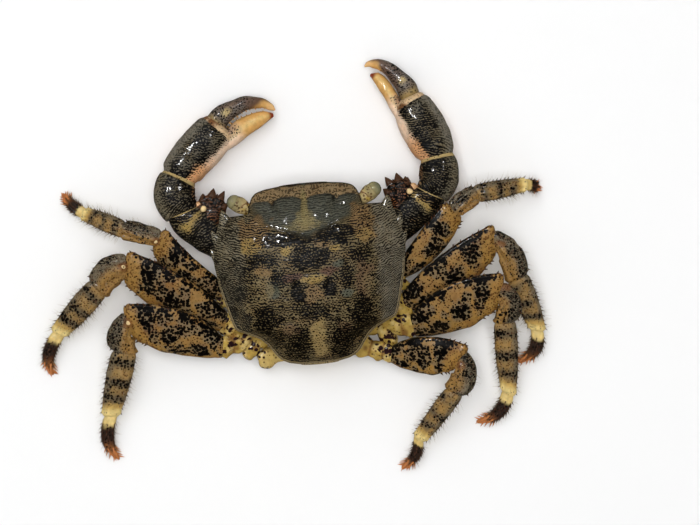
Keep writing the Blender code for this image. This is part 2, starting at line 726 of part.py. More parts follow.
def make_abdomen(look, collection, root):
    """The tail flap, folded forwards under the thorax and up behind it."""
    centres = [Vector((0.0, y, z)) for y, z, _ in FLAP_STATIONS]
    rings = []
    for row, (_, _, half) in enumerate(FLAP_STATIONS):
        first = centres[max(row - 1, 0)]
        last = centres[min(row + 1, len(centres) - 1)]
        along = (last - first).normalized()
        out = Vector((1.0, 0.0, 0.0)).cross(along)
        corner = Vector((half, 0.0, 0.0))
        edge = Vector((half - FLAP_EDGE, 0.0, 0.0))
        lift = out * (FLAP_THICKNESS / 2)
        rings.append(
            [
                centres[row] + edge + lift,
                centres[row] + corner,
                centres[row] + edge - lift,
                centres[row] - edge - lift,
                centres[row] - corner,
                centres[row] - edge + lift,
            ]
        )
    node("abdomen", rings, look, collection, root)


def facet(number, side):
    """The middle of one of the thorax's side faces and the way out of it."""
    rear = THORAX_STATIONS[number]
    front = THORAX_STATIONS[number + 1]
    middle = Vector((side * (rear[1] + front[1]) / 2, (rear[0] + front[0]) / 2, ROOT_HEIGHT))
    outward = Vector((side * (front[0] - rear[0]), -(front[1] - rear[1]), 0.0)).normalized()
    return middle + outward * GAP, outward


def joint(before, place, after, blend):
    """A joint's middle and the normal of its plane, between the ways in and out."""
    here = Vector(place)
    way_in = (here - Vector(before)).normalized()
    way_out = (Vector(after) - here).normalized()
    return here, way_in.lerp(way_out, blend).normalized()


def leg_limbs(leg):
    """The five segments of a walking leg, from the body to the tip."""
    side = leg["side"]
    root, root_normal = facet(FACET_OF_LEG[leg["number"]], side)
    places = [root, leg["hip"], leg["knee"], leg["wrist"], leg["ankle"], leg["tip"]]
    names = ["root", "hip", "knee", "wrist", "ankle", "tip"]
    joints = [(root, root_normal)]
    for i, name in enumerate(names[1:-1], start=1):
        joints.append(joint(places[i - 1], places[i], places[i + 1], LEG_BLEND[name]))
    tip = Vector(leg["tip"])
    joints.append((tip, (tip - joints[-1][0]).normalized()))
    profiles = (BASE_PROFILE, MERUS_PROFILE, CARPUS_PROFILE, PROPODUS_PROFILE, DACTYL_PROFILE)
    bows = {
        "merus": leg["merus_bow"],
        "carpus": leg["carpus_bow"],
        "propodus": SHIN_BOW,
        "dactyl": leg["dactyl_bow"],
    }
    limbs = {}
    for i, (kind, profile) in enumerate(zip(LEG_DEPTHS, profiles)):
        start, start_normal = joints[i]
        end, end_normal = joints[i + 1]
        begin = start if i == 0 else start + start_normal * (GAP / 2)
        finish = end if kind == "dactyl" else end - end_normal * (GAP / 2)
        size = (leg["widths"][kind], LEG_DEPTHS[kind])
        rolls = (side * LEG_ROLL[names[i]], side * LEG_ROLL[names[i + 1]])
        bow = bows.get(kind, STRAIGHT)
        limbs[kind] = bowed(
            begin, start_normal, finish, end_normal, bow, profile, size, LEG_SIDES[kind], rolls
        )
    return limbs


def front_angle(side, degrees):
    """Angles are counted from the leg's front edge on both sides of the body."""
    return degrees if side > 0 else 180.0 - degrees


def make_leg(name, leg, look, collection, root, draw):
    """One walking leg, with its teeth and rows of spines fused to it."""
    side = leg["side"]
    for kind, limb in leg_limbs(leg).items():
        made = node(f"{name}_{kind}", limb.rings(), look, collection, root)
        spines = []
        for share, degrees, length, radius in LEG_SPINES.get(kind, ()):
            angle = front_angle(side, degrees)
            reach = length * draw.uniform(*SPINE_SPREAD)
            spines.append(spine_on(limb, share, angle, reach, radius))
        if kind == "dactyl":
            length, radius = DACTYL_SPINE
            for degrees in DACTYL_ROWS:
                for share in DACTYL_ROW_SHARES:
                    thin = 1.0 - DACTYL_SPINE_THINNING * share
                    reach = length * thin * draw.uniform(*DACTYL_SPINE_SPREAD)
                    angle = front_angle(side, degrees)
                    lean = DACTYL_SPINE_LEAN
                    spines.append(spine_on(limb, share, angle, reach, radius * thin, lean))
        if spines:
            combine(made, spines)
        if kind in ("dactyl", "propodus"):
            rest_on_floor(made)


def make_stump(look, collection, root):
    """The first piece of the lost leg, with the open socket where the rest broke off."""
    start, normal = facet(FACET_OF_LEG[4], -1)
    end = Vector(STUMP_END)
    way = (end - start).normalized()
    size = (STUMP_WIDTH, LEG_DEPTHS["base"])
    limb = bowed(
        start, normal, end, way, STRAIGHT, STUMP_PROFILE, size, STUMP_SIDES, STUMP_ROLLS
    )
    stump = node("leg4_left_stump", limb.rings(), look, collection, root)
    mouth = end + way * STUMP_SOCKET_START
    bottom = end - way * STUMP_SOCKET_DEPTH
    socket = cone(mouth, bottom, STUMP_SOCKET_RADIUS, sides=STUMP_SOCKET_SIDES)
    combine(stump, [socket], "DIFFERENCE")


def finger_teeth(limb, teeth, inner_side, size):
    """The rounded teeth on the side of a claw's finger that faces the other one."""
    return [
        spine_on(limb, share, inner_side, length * size, radius, 0.0, TOOTH_TAPER)
        for share, length, radius in teeth
    ]


def make_claw(name, claw, looks, collection, root):
    """One claw: base, merus with its toothed lobe, carpus, palm with its fixed finger, finger."""
    side = claw["side"]
    start, start_normal = facet(FACET_OF_CLAW, side)
    hip = Vector(claw["merus"][0][:3])
    hip_normal = (Vector(claw["merus"][1][:3]) - start).normalized()
    size = (CLAW_BASE_WIDTH, CLAW_BASE_DEPTH)
    base_end = hip - hip_normal * GAP
    level = (0.0, 0.0)
    base = bowed(
        start, start_normal, base_end, hip_normal, STRAIGHT, BASE_PROFILE, size, CLAW_SIDES, level
    )
    node(f"{name}_base", base.rings(), looks["belly"], collection, root)

    merus = through(claw["merus"], hip_normal, claw["knee_normal"], CLAW_SIDES)
    made = node(f"{name}_merus", merus.rings(), looks["claw"], collection, root)
    lobe_root, lobe_end = (Vector(place) for place in claw["lobe"])
    flatness = LOBE_DEPTH / LOBE_WIDTH
    lobe = [cone(lobe_root, lobe_end, LOBE_WIDTH / 2, flatness, LOBE_SIDES, LOBE_TAPER)]
    for tip_x, tip_y in claw["lobe_teeth"]:
        tip = Vector((tip_x, tip_y, lobe_end.z - LOBE_TOOTH_DROP))
        base = tip.lerp(lobe_root, 0.5)
        lobe.append(cone(base, tip, LOBE_TOOTH_RADIUS, LOBE_TOOTH_FLATNESS, LOBE_TOOTH_SIDES))
    combine(made, lobe)

    stations = seated(claw["carpus"], merus.centres[-1], claw["knee_normal"])
    carpus = through(stations, claw["knee_normal"], claw["wrist_normal"], CLAW_SIDES)
    node(f"{name}_carpus", carpus.rings(), looks["claw"], collection, root)

    stations = seated(claw["palm"], carpus.centres[-1], claw["wrist_normal"])
    palm = through(stations, claw["wrist_normal"], claw["finger_normal"], CLAW_SIDES)
    made = node(f"{name}_palm", palm.rings(), looks["claw"], collection, root)
    thumb_stations = claw["thumb"]
    way_in = Vector(thumb_stations[1][:3]) - Vector(thumb_stations[0][:3])
    way_out = Vector(thumb_stations[-1][:3]) - Vector(thumb_stations[-2][:3])
    thumb = through(thumb_stations, way_in, way_out, THUMB_SIDES)
    teeth = finger_teeth(thumb, THUMB_TEETH, front_angle(side, 180.0), claw["tooth_size"])
    combine(made, [closed_shape(thumb.rings()), *teeth])
    rest_on_floor(made)

    stations = claw["dactyl"]
    way_out = Vector(stations[-1][:3]) - Vector(stations[-2][:3])
    finger = through(stations, claw["finger_normal"], way_out, FINGER_SIDES)
    made = node(f"{name}_finger", finger.rings(), looks["finger"], collection, root)
    combine(made, finger_teeth(finger, FINGER_TEETH, front_angle(side, 0.0), claw["tooth_size"]))


def make_head(looks, collection, root):
    """Eyestalks with their corneas, feelers and the plates over the mouth, on both sides."""
    for side, word in ((-1, "left"), (1, "right")):
        def sided(stations):
            return stations if side > 0 else mirrored(stations)

        root_normal, end_normal = (
            Vector((side * way[0], way[1], way[2])) for way in STALK_NORMALS
        )
        stalk = through(sided(STALK), root_normal, end_normal, HEAD_SIDES["stalk"])
        node(f"eyestalk_{word}", stalk.rings(), looks["eyestalk"], collection, root)
        cornea = through(sided(CORNEA), end_normal, end_normal, HEAD_SIDES["eye"])
        lift = end_normal.normalized() * CORNEA_LIFT
        lifted = [[point + lift for point in ring] for ring in cornea.rings()]
        node(f"eye_{word}", lifted, looks["eye"], collection, root)

        way_out = (side * ANTENNA_END[0], *ANTENNA_END[1:])
        feeler = through(sided(ANTENNA), ANTENNA_START, way_out, HEAD_SIDES["antenna"])
        node(f"antenna_{word}", feeler.rings(), looks["limb"], collection, root)

        (low_y, _, low_z), (high_y, _, high_z) = THORAX_STATIONS[-2:]
        rise = Vector((0.0, high_y - low_y, high_z - low_z))
        out = Vector((0.0, rise.z, -rise.y)).normalized() * MOUTH_CLEARANCE
        stations = []
        for share, x, width, depth in MOUTH_PLATE:
            place = Vector((side * x, low_y, low_z)) + rise * share + out
            stations.append((*place, width, depth))
        plate = through(stations, rise, rise, HEAD_SIDES["mouth"], MOUTH_POWER)
        node(f"mouth_plate_{word}", plate.rings(), looks["belly"], collection, root)


def main():
    for old in list(bpy.data.objects):
        bpy.data.objects.remove(old)
    collection = bpy.data.collections.new("shore_crab")
    bpy.context.scene.collection.children.link(collection)
    root = bpy.data.objects.new("shore_crab_root", None)
    root.location = BODY_SHIFT * MM
    collection.objects.link(root)

    looks = {name: material(name, *values) for name, values in LOOKS.items()}
    make_shell(looks["shell"], collection, root)
    make_thorax(looks["belly"], collection, root)
    make_abdomen(looks["belly"], collection, root)
    make_head(looks, collection, root)
    for name, claw in CLAWS.items():
        make_claw(name, claw, looks, collection, root)
    draw = random.Random(SPINE_SEED)
    for name, leg in LEGS.items():
        make_leg(name, leg, looks["limb"], collection, root, draw)
    make_stump(looks["limb"], collection, root)


main()
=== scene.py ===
# %% [markdown]
# # A marbled shore crab
# The solids of the crab are already made. This script loads them as a fixed frame and lays a
# finer surface over each, with relief, spines, bristles and a marbled, wet shell. Sizes are in
# millimetres on the crab's own axes: +X to its right from above, +Y to its front, +Z up.

import json
import math

import bpy
import numpy as np
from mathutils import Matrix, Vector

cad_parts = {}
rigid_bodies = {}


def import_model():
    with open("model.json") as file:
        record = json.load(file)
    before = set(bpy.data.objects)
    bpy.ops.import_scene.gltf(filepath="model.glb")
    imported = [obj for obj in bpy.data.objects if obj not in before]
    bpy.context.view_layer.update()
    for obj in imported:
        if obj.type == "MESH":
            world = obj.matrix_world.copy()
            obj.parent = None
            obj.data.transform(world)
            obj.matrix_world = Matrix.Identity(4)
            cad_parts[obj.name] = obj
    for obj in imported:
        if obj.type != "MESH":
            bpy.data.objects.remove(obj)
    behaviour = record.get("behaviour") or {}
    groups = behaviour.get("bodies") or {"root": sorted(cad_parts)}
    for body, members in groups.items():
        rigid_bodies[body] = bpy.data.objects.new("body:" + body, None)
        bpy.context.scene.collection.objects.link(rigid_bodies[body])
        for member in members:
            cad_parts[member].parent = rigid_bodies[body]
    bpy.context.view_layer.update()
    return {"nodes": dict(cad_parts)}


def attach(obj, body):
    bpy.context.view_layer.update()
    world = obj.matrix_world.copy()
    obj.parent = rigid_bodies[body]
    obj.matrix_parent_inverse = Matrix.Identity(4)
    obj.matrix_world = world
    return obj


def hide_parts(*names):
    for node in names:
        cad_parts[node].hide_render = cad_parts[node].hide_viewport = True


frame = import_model()
MM = 0.001
BODY_SHIFT = np.array([4.03, -0.03, 0.0])  # from the middle of the shell to the frame's origin
UP = np.array([0.0, 0.0, 1.0])
print("nodes in the frame:", len(frame["nodes"]))

# %% [markdown]
# ## Colours
# Colours are chosen as screen values and turned to the linear values that the
# renderer works in. Each has the name of the place on the crab where it is seen. A painted
# picture could be laid over the shell instead, but named tones can be mixed at any point and
# stay sharp from near by.


# %% The palette
def linear(red, green, blue):
    """A screen colour from 0 to 255 as linear light: the screen's own curve taken back.

    With s from 0 to 1 it is ((s + 0.055) / 1.055)^2.4, and s / 12.92 for the darkest.
    """
    screen = np.array([red, green, blue]) / 255
    return np.where(screen <= 0.04045, screen / 12.92, ((screen + 0.055) / 1.055) ** 2.4)


SCREEN_TONES = {
    "umber": (105, 94, 67), "side grey": (115, 110, 92), "lobe grey": (76, 78, 68),
    "brow": (130, 112, 82), "ochre": (148, 126, 68), "rust": (122, 98, 64), "plum": (88, 60, 50),
    "tan": (124, 110, 77), "pale": (138, 120, 77), "median": (126, 116, 78), "rim": (146, 132, 98),
    "disc": (74, 80, 70), "soot": (4, 3, 2), "blue black": (12, 15, 20), "leg tan": (136, 108, 66),
    "leg ochre": (146, 114, 58), "leg grey": (100, 98, 86), "leg brown": (152, 128, 84),
    "speck brown": (66, 30, 14), "knob": (222, 200, 150), "flesh": (206, 166, 124),
    "cream": (216, 198, 134), "band yellow": (182, 154, 88), "root yellow": (170, 146, 74),
    "root cream": (206, 186, 126), "root brown": (112, 74, 42), "root purple": (36, 18, 20),
    "toe black": (42, 32, 27), "toe orange": (192, 126, 74), "claw dark": (86, 82, 70),
    "claw black": (6, 5, 4), "claw grey": (118, 115, 104), "claw tan": (202, 154, 110),
    "claw pink": (228, 204, 180), "finger": (104, 98, 93), "finger tip": (222, 184, 132),
    "amber": (200, 158, 94), "nail": (120, 50, 30), "lobe brown": (88, 60, 42),
    "lobe orange": (150, 98, 62), "stalk": (184, 168, 120), "stalk red": (96, 40, 24),
    "cornea": (104, 108, 86), "cornea edge": (136, 128, 92), "belly": (212, 196, 154),
    "bristle": (150, 136, 108), "spine brown": (70, 48, 34),
}
TONES = {name: linear(*screen) for name, screen in SCREEN_TONES.items()}
print("tones:", len(TONES))

# %% [markdown]
# ## Curves, chance and grids
# A crab's limb is a tube whose middle line, width and depth change along it. All shapes here
# are grids of points worked out at once as arrays. A smooth curve runs through a few stations,
# and a repeatable grain gives the small unevenness that a living shell has.


# %% Smooth curves through stations
def flowing(knots, values, at):
    """Values between knots on a curve that never overshoots them.

    Each knot's slope is the harmonic mean of the rises on its two sides, or zero at a peak, and
    a cubic with those slopes joins each pair of knots.
    """
    knots = np.asarray(knots, float)
    table = np.asarray(values, float).reshape(len(knots), -1)
    stride = np.diff(knots)[:, None]
    rise = np.diff(table, axis=0) / stride
    both = rise[:-1] * rise[1:]
    total = rise[:-1] + rise[1:]
    total = np.where(np.abs(total) < 1e-12, 1.0, total)
    slope = np.vstack([rise[:1], np.where(both > 0, 2 * both / total, 0.0), rise[-1:]])
    cell = np.clip(np.searchsorted(knots, at, side="right") - 1, 0, len(knots) - 2)
    width = stride[cell]
    t = (np.asarray(at) - knots[cell])[:, None] / width
    return (
        table[cell] * (1 + 2 * t) * (1 - t) ** 2
        + slope[cell] * width * t * (1 - t) ** 2
        + table[cell + 1] * t**2 * (3 - 2 * t)
        + slope[cell + 1] * width * t**2 * (t - 1)
    )


# %% Directions and smooth steps
def unit(vectors):
    """Vectors divided by their own length."""
    return vectors / np.maximum(np.linalg.norm(vectors, axis=-1, keepdims=True), 1e-12)


def smooth(low, high, value):
    """0 below low, 1 above high, and the cubic 3t^2 - 2t^3 between them."""
    t = np.clip((value - low) / (high - low), 0, 1)
    return t * t * (3 - 2 * t)


def hump(offset, reach):
    """1 where the offset is 0, falling off on both sides as exp(-(offset / reach)^2)."""
    return np.exp(-((offset / reach) ** 2))


print("a step and a hump at a quarter:", smooth(0, 1, 0.25), hump(0.25, 1).round(3))

# %% Repeatable grain
AXIS_FACTORS = np.array([73856093, 19349663, 83492791])  # large odd numbers that scramble a place
SEED_FACTOR = 6364136223
MIX_FACTOR = 1274126177


def lumps(points, size, seed):
    """A smooth random value from -1 to 1 at each point.

    Space is cut in cubes of `size`. Each corner gets a number scrambled from its place, and
    inside a cube the eight corners are blended with the cubic 3t^2 - 2t^3 along each axis.
    """
    scaled = np.asarray(points, float) / size
    cell = np.floor(scaled).astype(np.int64)
    part = scaled - cell
    part = part * part * (3 - 2 * part)
    total = np.zeros(scaled.shape[:-1])
    for corner in np.ndindex(2, 2, 2):
        key = ((cell + corner) * AXIS_FACTORS).sum(axis=-1)
        key = (key + seed * SEED_FACTOR) & 0xFFFFFFFF
        key = ((key ^ (key >> 13)) * MIX_FACTOR) & 0xFFFFFFFF
        value = ((key ^ (key >> 16)) & 65535) / 32767.5 - 1
        total += value * np.prod(np.where(corner, part, 1 - part), axis=-1)
    return total


# %% Grids that close into tubes
def tube(rings, **marks):
    """A closed skin over a grid of rings, with a pole at each end and marks at every point."""
    rows, columns = rings.shape[:2]
    row, column = np.meshgrid(np.arange(rows - 1), np.arange(columns), indexing="ij")
    beside = (column + 1) % columns
    first, second = row * columns, (row + 1) * columns
    corners = [first + column, first + beside, second + beside, second + column]
    ring = np.arange(columns)
    following = (ring + 1) % columns
    last = (rows - 1) * columns
    pole = np.full(columns, rows * columns)
    ends = [
        np.stack([pole, following, ring], axis=-1),
        np.stack([pole + 1, last + ring, last + following], axis=-1),
    ]
    fields = {}
    for name, values in marks.items():
        depth = 3 if name == "tone" else 1
        full = np.broadcast_to(values if depth == 3 else np.array(values)[..., None], (rows, columns, depth))
        poles = [full[0].mean(axis=0)[None], full[-1].mean(axis=0)[None]]
        fields[name] = np.concatenate([full.reshape(-1, depth), *poles])
    tips = [rings[0].mean(axis=0)[None], rings[-1].mean(axis=0)[None]]
    return {
        "points": np.concatenate([rings.reshape(-1, 3), *tips]),
        "quads": np.stack(corners, axis=-1).reshape(-1, 4),
        "ends": np.concatenate(ends),
        "marks": fields,
    }


def out_of(rings):
    """The way out of a tube's surface: the step round it crossed with the step along it."""
    along = np.gradient(rings, axis=0)
    around = np.roll(rings, -1, axis=1) - np.roll(rings, 1, axis=1)
    return unit(np.cross(around, along))


def raised(rings, height):
    """The grid moved out of its surface by a height at each point."""
    return rings + out_of(rings) * height[..., None]


def keep_above_floor(points):
    """Lifts points that would lie under the floor up to it."""
    points[..., 2] = np.maximum(points[..., 2], 0.0)


# %% Thorns: spines, teeth and bristles by the hundred
THORN_SHARES = np.array([0.0, 0.3, 0.62, 0.88])
BRISTLE_PATCH = 0.003  # of the unwrapped skin, across and along, for each bristle


def thorns(roots, ways, lengths, radii, tone, sides=6, bend=0.0, patches=None):
    """Many closed, tapering thorns at once.

    Each is a stack of rings whose radius shrinks as (1 - t)^0.8 along it, and whose middle line
    leans down by bend times length times t^2. Where `patches` gives a place on the unwrapped
    skin, a thorn's points are laid out there by their turn across and their t along.
    """
    shares = THORN_SHARES
    ways = unit(ways)
    aside = unit(np.cross(ways, np.where(np.abs(ways[:, 2:]) > 0.9, [[1.0, 0, 0]], [[0, 0, 1.0]])))
    other = np.cross(ways, aside)
    angle = 2 * np.pi * np.arange(sides) / sides
    middle = roots[:, None] + ways[:, None] * (lengths[:, None] * shares)[..., None]
    middle[..., 2] -= bend * lengths[:, None] * shares**2
    radius = radii[:, None] * (1 - shares) ** 0.8
    circle = (
        aside[:, None, None] * np.cos(angle)[None, None, :, None]
        + other[:, None, None] * np.sin(angle)[None, None, :, None]
    )
    rings = middle[:, :, None] + circle * radius[..., None, None]
    tips = roots + ways * lengths[:, None] - UP * (bend * lengths[:, None])
    one = tube(rings[0])
    size = len(one["points"])
    starts = np.arange(len(roots))[:, None, None] * size
    points = np.concatenate([rings.reshape(len(roots), -1, 3), roots[:, None], tips[:, None]], axis=1)
    marks = {"tone": np.broadcast_to(tone, (len(roots) * size, 3))}
    if patches is not None:
        turned = np.broadcast_to(np.arange(sides) / (sides - 1), (len(shares), sides))
        risen = np.broadcast_to(shares[:, None], turned.shape)
        laid = np.vstack([np.column_stack([turned.ravel(), risen.ravel()]), [[0.5, 0.0], [0.5, 1.0]]])
        marks["patch"] = (patches[:, None] + BRISTLE_PATCH * laid).reshape(-1, 2)
    return {
        "points": points.reshape(-1, 3),
        "quads": (one["quads"][None] + starts).reshape(-1, 4),
        "ends": (one["ends"][None] + starts).reshape(-1, 3),
        "marks": marks,
    }


# %% [markdown]
# ## From arrays to pieces
# Every piece is one mesh made of closed surfaces. Beside the points it carries named values:
# its tone, how much of it is blotched or dotted, and the phase of its fine cross lines. The
# materials read those, so that the markings follow the body and not the room.

# %% Meshes with marks
MARKS = {"blotch": 0.0, "dots": 0.0, "stria": 0.0, "phase": 0.0, "ink": 1.0}  # and where unset


def mesh_of(name, parts):
    """Joins closed surfaces into one mesh and stores their marks as attributes."""
    counts = [len(part["points"]) for part in parts]
    offsets = np.cumsum([0, *counts[:-1]])
    points = np.concatenate([part["points"] for part in parts])
    quads = np.concatenate([part["quads"] + start for part, start in zip(parts, offsets)])
    ends = np.concatenate([part["ends"] + start for part, start in zip(parts, offsets)])
    mesh = bpy.data.meshes.new(name)
    mesh.vertices.add(len(points))
    mesh.vertices.foreach_set("co", ((points + BODY_SHIFT) * MM).ravel())
    corners = np.concatenate([quads.ravel(), ends.ravel()])
    mesh.loops.add(len(corners))
    mesh.loops.foreach_set("vertex_index", corners)
    starts = np.concatenate([np.arange(len(quads)) * 4, len(quads) * 4 + np.arange(len(ends)) * 3])
    mesh.polygons.add(len(starts))
    mesh.polygons.foreach_set("loop_start", starts)
    mesh.update(calc_edges=True)
    mesh.shade_smooth()
    tone = np.concatenate([part["marks"]["tone"] for part in parts])
    colours = mesh.attributes.new("tone", "FLOAT_COLOR", "POINT")
    colours.data.foreach_set("color", np.hstack([tone, np.ones((len(tone), 1))]).ravel())
    for mark, unset in MARKS.items():
        values = [part["marks"].get(mark, np.full((n, 1), unset)) for part, n in zip(parts, counts)]
        field = mesh.attributes.new(mark, "FLOAT", "POINT")
        field.data.foreach_set("value", np.concatenate(values).ravel())
    if "patch" in parts[0]["marks"]:
        place = np.concatenate([part["marks"]["patch"] for part in parts])
        mesh.uv_layers.new(name="OFBake").data.foreach_set("uv", place[corners].ravel())
    return mesh


def piece(name, parts, material, nodes=()):
    """One finished piece: its mesh, material and slot, riding on the body for its nodes."""
    made = bpy.data.objects.new(name, mesh_of(name, parts))
    made.data.materials.append(material)
    bpy.context.scene.collection.objects.link(made)
    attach(made, "root")
    for node in nodes:
        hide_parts(node)
    return made


print("marks:", list(MARKS))

# %% [markdown]
# ## Shell materials
# Crab shell is a hard, smooth, wet skin with pigment under a clear surface. Blotches, dots and
# fine cross lines are three effects that every piece uses at its own size, so each is a node
# group with named inputs, and each material places them with its own values. They are worked
# out from the place in space, so that no unwrap is needed and no seam shows.


# %% Node helpers
def add(tree, kind, inputs=(), **settings):
    """A new shader node. Inputs are linked when they are sockets and set when they are values."""
    node = tree.nodes.new("ShaderNode" + kind)
    for key, value in settings.items():
        setattr(node, key, value)
    for key, value in dict(inputs).items():
        if isinstance(value, bpy.types.NodeSocket):
            tree.links.new(value, node.inputs[key])
        else:
            node.inputs[key].default_value = value
    return node


def calculate(tree, operation, first, second=0.0):
    """One arithmetic step between two values."""
    return add(tree, "Math", {0: first, 1: second}, operation=operation).outputs[0]


def times(tree, first, second):
    """The product of two values."""
    return calculate(tree, "MULTIPLY", first, second)


def step(tree, value, low, high):
    """A smooth step from 0 at low to 1 at high."""
    inputs = {"Value": value, "From Min": low, "From Max": high}
    return add(tree, "MapRange", inputs, interpolation_type="SMOOTHSTEP").outputs["Result"]


def group(name, inputs, outputs):
    """An empty node group with named number or vector inputs and number outputs."""
    tree = bpy.data.node_groups.new(name, "ShaderNodeTree")
    for label in inputs:
        kind = "NodeSocketVector" if label == "Place" else "NodeSocketFloat"
        tree.interface.new_socket(label, in_out="INPUT", socket_type=kind)
    for label in outputs:
        tree.interface.new_socket(label, in_out="OUTPUT", socket_type="NodeSocketFloat")
    return tree, tree.nodes.new("NodeGroupInput").outputs, tree.nodes.new("NodeGroupOutput").inputs


def placed(tree, effect, **values):
    """A group in a material, with its inputs linked or set."""
    inputs = {label.replace("_", " ").capitalize(): value for label, value in values.items()}
    return add(tree, "Group", inputs, node_tree=effect).outputs


# %% Marbling: worm-like black that turns to fine lines where the shell is striated
WORM_WAVES = ((1.5, 0.15), (0.5, 0.09), (2.5, 0.09))  # turn in radians and height of crossed waves
WORM_SHAKE = 2.6  # how far the noise moves a place, in sizes of the marbling
DARK_LEVEL = 0.71  # over which the field is dark where the cover is least
LEVEL_DROP = 0.42  # how much lower that level is where the cover is 1
EDGE_HALF = 0.02  # half the width of a mark's soft edge, in the field's units


def make_marbling():
    """Dark where a field rises over a level.

    The field is 0.5 plus the crossed waves, at a place shaken by noise, blended by Stripes with
    0.5 + 0.2 sin(2 pi phase). The level is DARK_LEVEL less LEVEL_DROP times the cover, so that
    the share of dark grows evenly with the cover.
    """
    inputs = ("Place", "Size", "Cover", "Phase", "Stripes", "Wobble")
    tree, given, result = group("marbling", inputs, ("Mask", "Wave"))
    scale = calculate(tree, "DIVIDE", 1.0, given["Size"])
    scaled = add(tree, "VectorMath", {0: given["Place"], "Scale": scale}, operation="SCALE").outputs[0]
    noise = add(tree, "TexNoise", {"Vector": scaled, "Scale": 0.45, "Detail": 1.0}).outputs["Color"]
    shake = {0: noise, 1: (WORM_SHAKE,) * 3, 2: scaled}
    shaken = add(tree, "VectorMath", shake, operation="MULTIPLY_ADD").outputs[0]
    worm = 0.5
    for turn, size in WORM_WAVES:
        way = (2 * math.pi * math.cos(turn), 2 * math.pi * math.sin(turn), 2.0)
        across = add(tree, "VectorMath", {0: shaken, 1: way}, operation="DOT_PRODUCT").outputs["Value"]
        rise = times(tree, calculate(tree, "SINE", across), size)
        worm = calculate(tree, "ADD", worm, rise)
    sway = add(tree, "TexNoise", {"Vector": given["Place"], "Scale": 800.0, "Detail": 2.0}).outputs["Fac"]
    shift = times(tree, calculate(tree, "SUBTRACT", sway, 0.5), given["Wobble"])
    turns = times(tree, calculate(tree, "ADD", given["Phase"], shift), 2 * math.pi)
    wave = calculate(tree, "SINE", turns)
    stripe = calculate(tree, "ADD", times(tree, wave, 0.2), 0.5)
    field = add(tree, "Mix", {"Factor": given["Stripes"], "A": worm, "B": stripe}).outputs["Result"]
    drop = times(tree, given["Cover"], LEVEL_DROP)
    level = calculate(tree, "SUBTRACT", DARK_LEVEL, drop)
    low = calculate(tree, "SUBTRACT", level, EDGE_HALF)
    high = calculate(tree, "ADD", level, EDGE_HALF)
    gate = step(tree, given["Cover"], 0.0, 0.06)
    mask = times(tree, step(tree, field, low, high), gate)
    tree.links.new(mask, result["Mask"])
    tree.links.new(times(tree, wave, given["Stripes"]), result["Wave"])
    return tree


# %% Spots: round dots that grow with their cover until they run together
SPOT_GROWTH = 0.68  # of a dot's radius from no cover to full cover, in sizes of a cell
SPOT_CHANCE = 0.24  # of its radius by the cell's random number
SPOT_EDGE = 0.05  # half the width of its soft edge


def make_spots():
    """Dark where the way to the nearest cell's middle is shorter than the cell's limit.

    The limit is SPOT_GROWTH times the cover, plus SPOT_CHANCE times the cell's random number, so
    that few dots stand alone where the cover is low and pale islands are left where it is high.
    """
    tree, given, result = group("spots", ("Place", "Size", "Cover"), ("Mask",))
    scale = calculate(tree, "DIVIDE", 1.0, given["Size"])
    cells = add(tree, "TexVoronoi", {"Vector": given["Place"], "Scale": scale, "Randomness": 0.95})
    number = add(tree, "SeparateColor", {"Color": cells.outputs["Color"]}).outputs["Red"]
    chance = times(tree, number, SPOT_CHANCE)
    limit = calculate(tree, "ADD", times(tree, given["Cover"], SPOT_GROWTH), chance)
    room = calculate(tree, "SUBTRACT", limit, cells.outputs["Distance"])
    gate = step(tree, given["Cover"], 0.0, 0.08)
    mask = times(tree, step(tree, room, -SPOT_EDGE, SPOT_EDGE), gate)
    tree.links.new(mask, result["Mask"])
    return tree


# %% Clouds: uneven pigment, and the small lumps and grain of the surface
CLOUD_KINDS = (
    # output, cells in a metre, value at the noise's 0, value at its 1
    ("Shade", 1500.0, 0.62, 1.38), ("Warm", 900.0, -0.5, 1.5), ("Lump", 1100.0, 0.0, 1.0),
    ("Grain", 3200.0, 0.0, 1.0),
)


def make_clouds():
    """Noise of four sizes: Shade and Warm for the pigment, Lump and Grain for the relief."""
    tree, given, result = group("clouds", ("Place",), ("Shade", "Warm", "Lump", "Grain"))
    for label, scale, low, high in CLOUD_KINDS:
        inputs = {"Vector": given["Place"], "Scale": scale, "Detail": 3.0}
        noise = add(tree, "TexNoise", inputs, noise_dimensions="4D")
        noise.inputs["W"].default_value = scale / 1000
        spread = add(tree, "MapRange", {"Value": noise.outputs["Fac"], "To Min": low, "To Max": high})
        tree.links.new(spread.outputs["Result"], result[label])
    return tree


MARBLING = make_marbling()
SPOTS = make_spots()
CLOUDS = make_clouds()
print("effects:", [tree.name for tree in (MARBLING, SPOTS, CLOUDS)])


# %% One wet shell material, with its own sizes for each kind of piece
def new_material(name):
    """A material with its node tree and its main shader."""
    made = bpy.data.materials.new(name)
    made.use_nodes = True
    return made, made.node_tree, made.node_tree.nodes["Principled BSDF"]


def blended(tree, share, first, second):
    """A mix of two colours by a share."""
    return add(tree, "Mix", {"Factor": share, "A": first, "B": second}, data_type="RGBA").outputs[2]


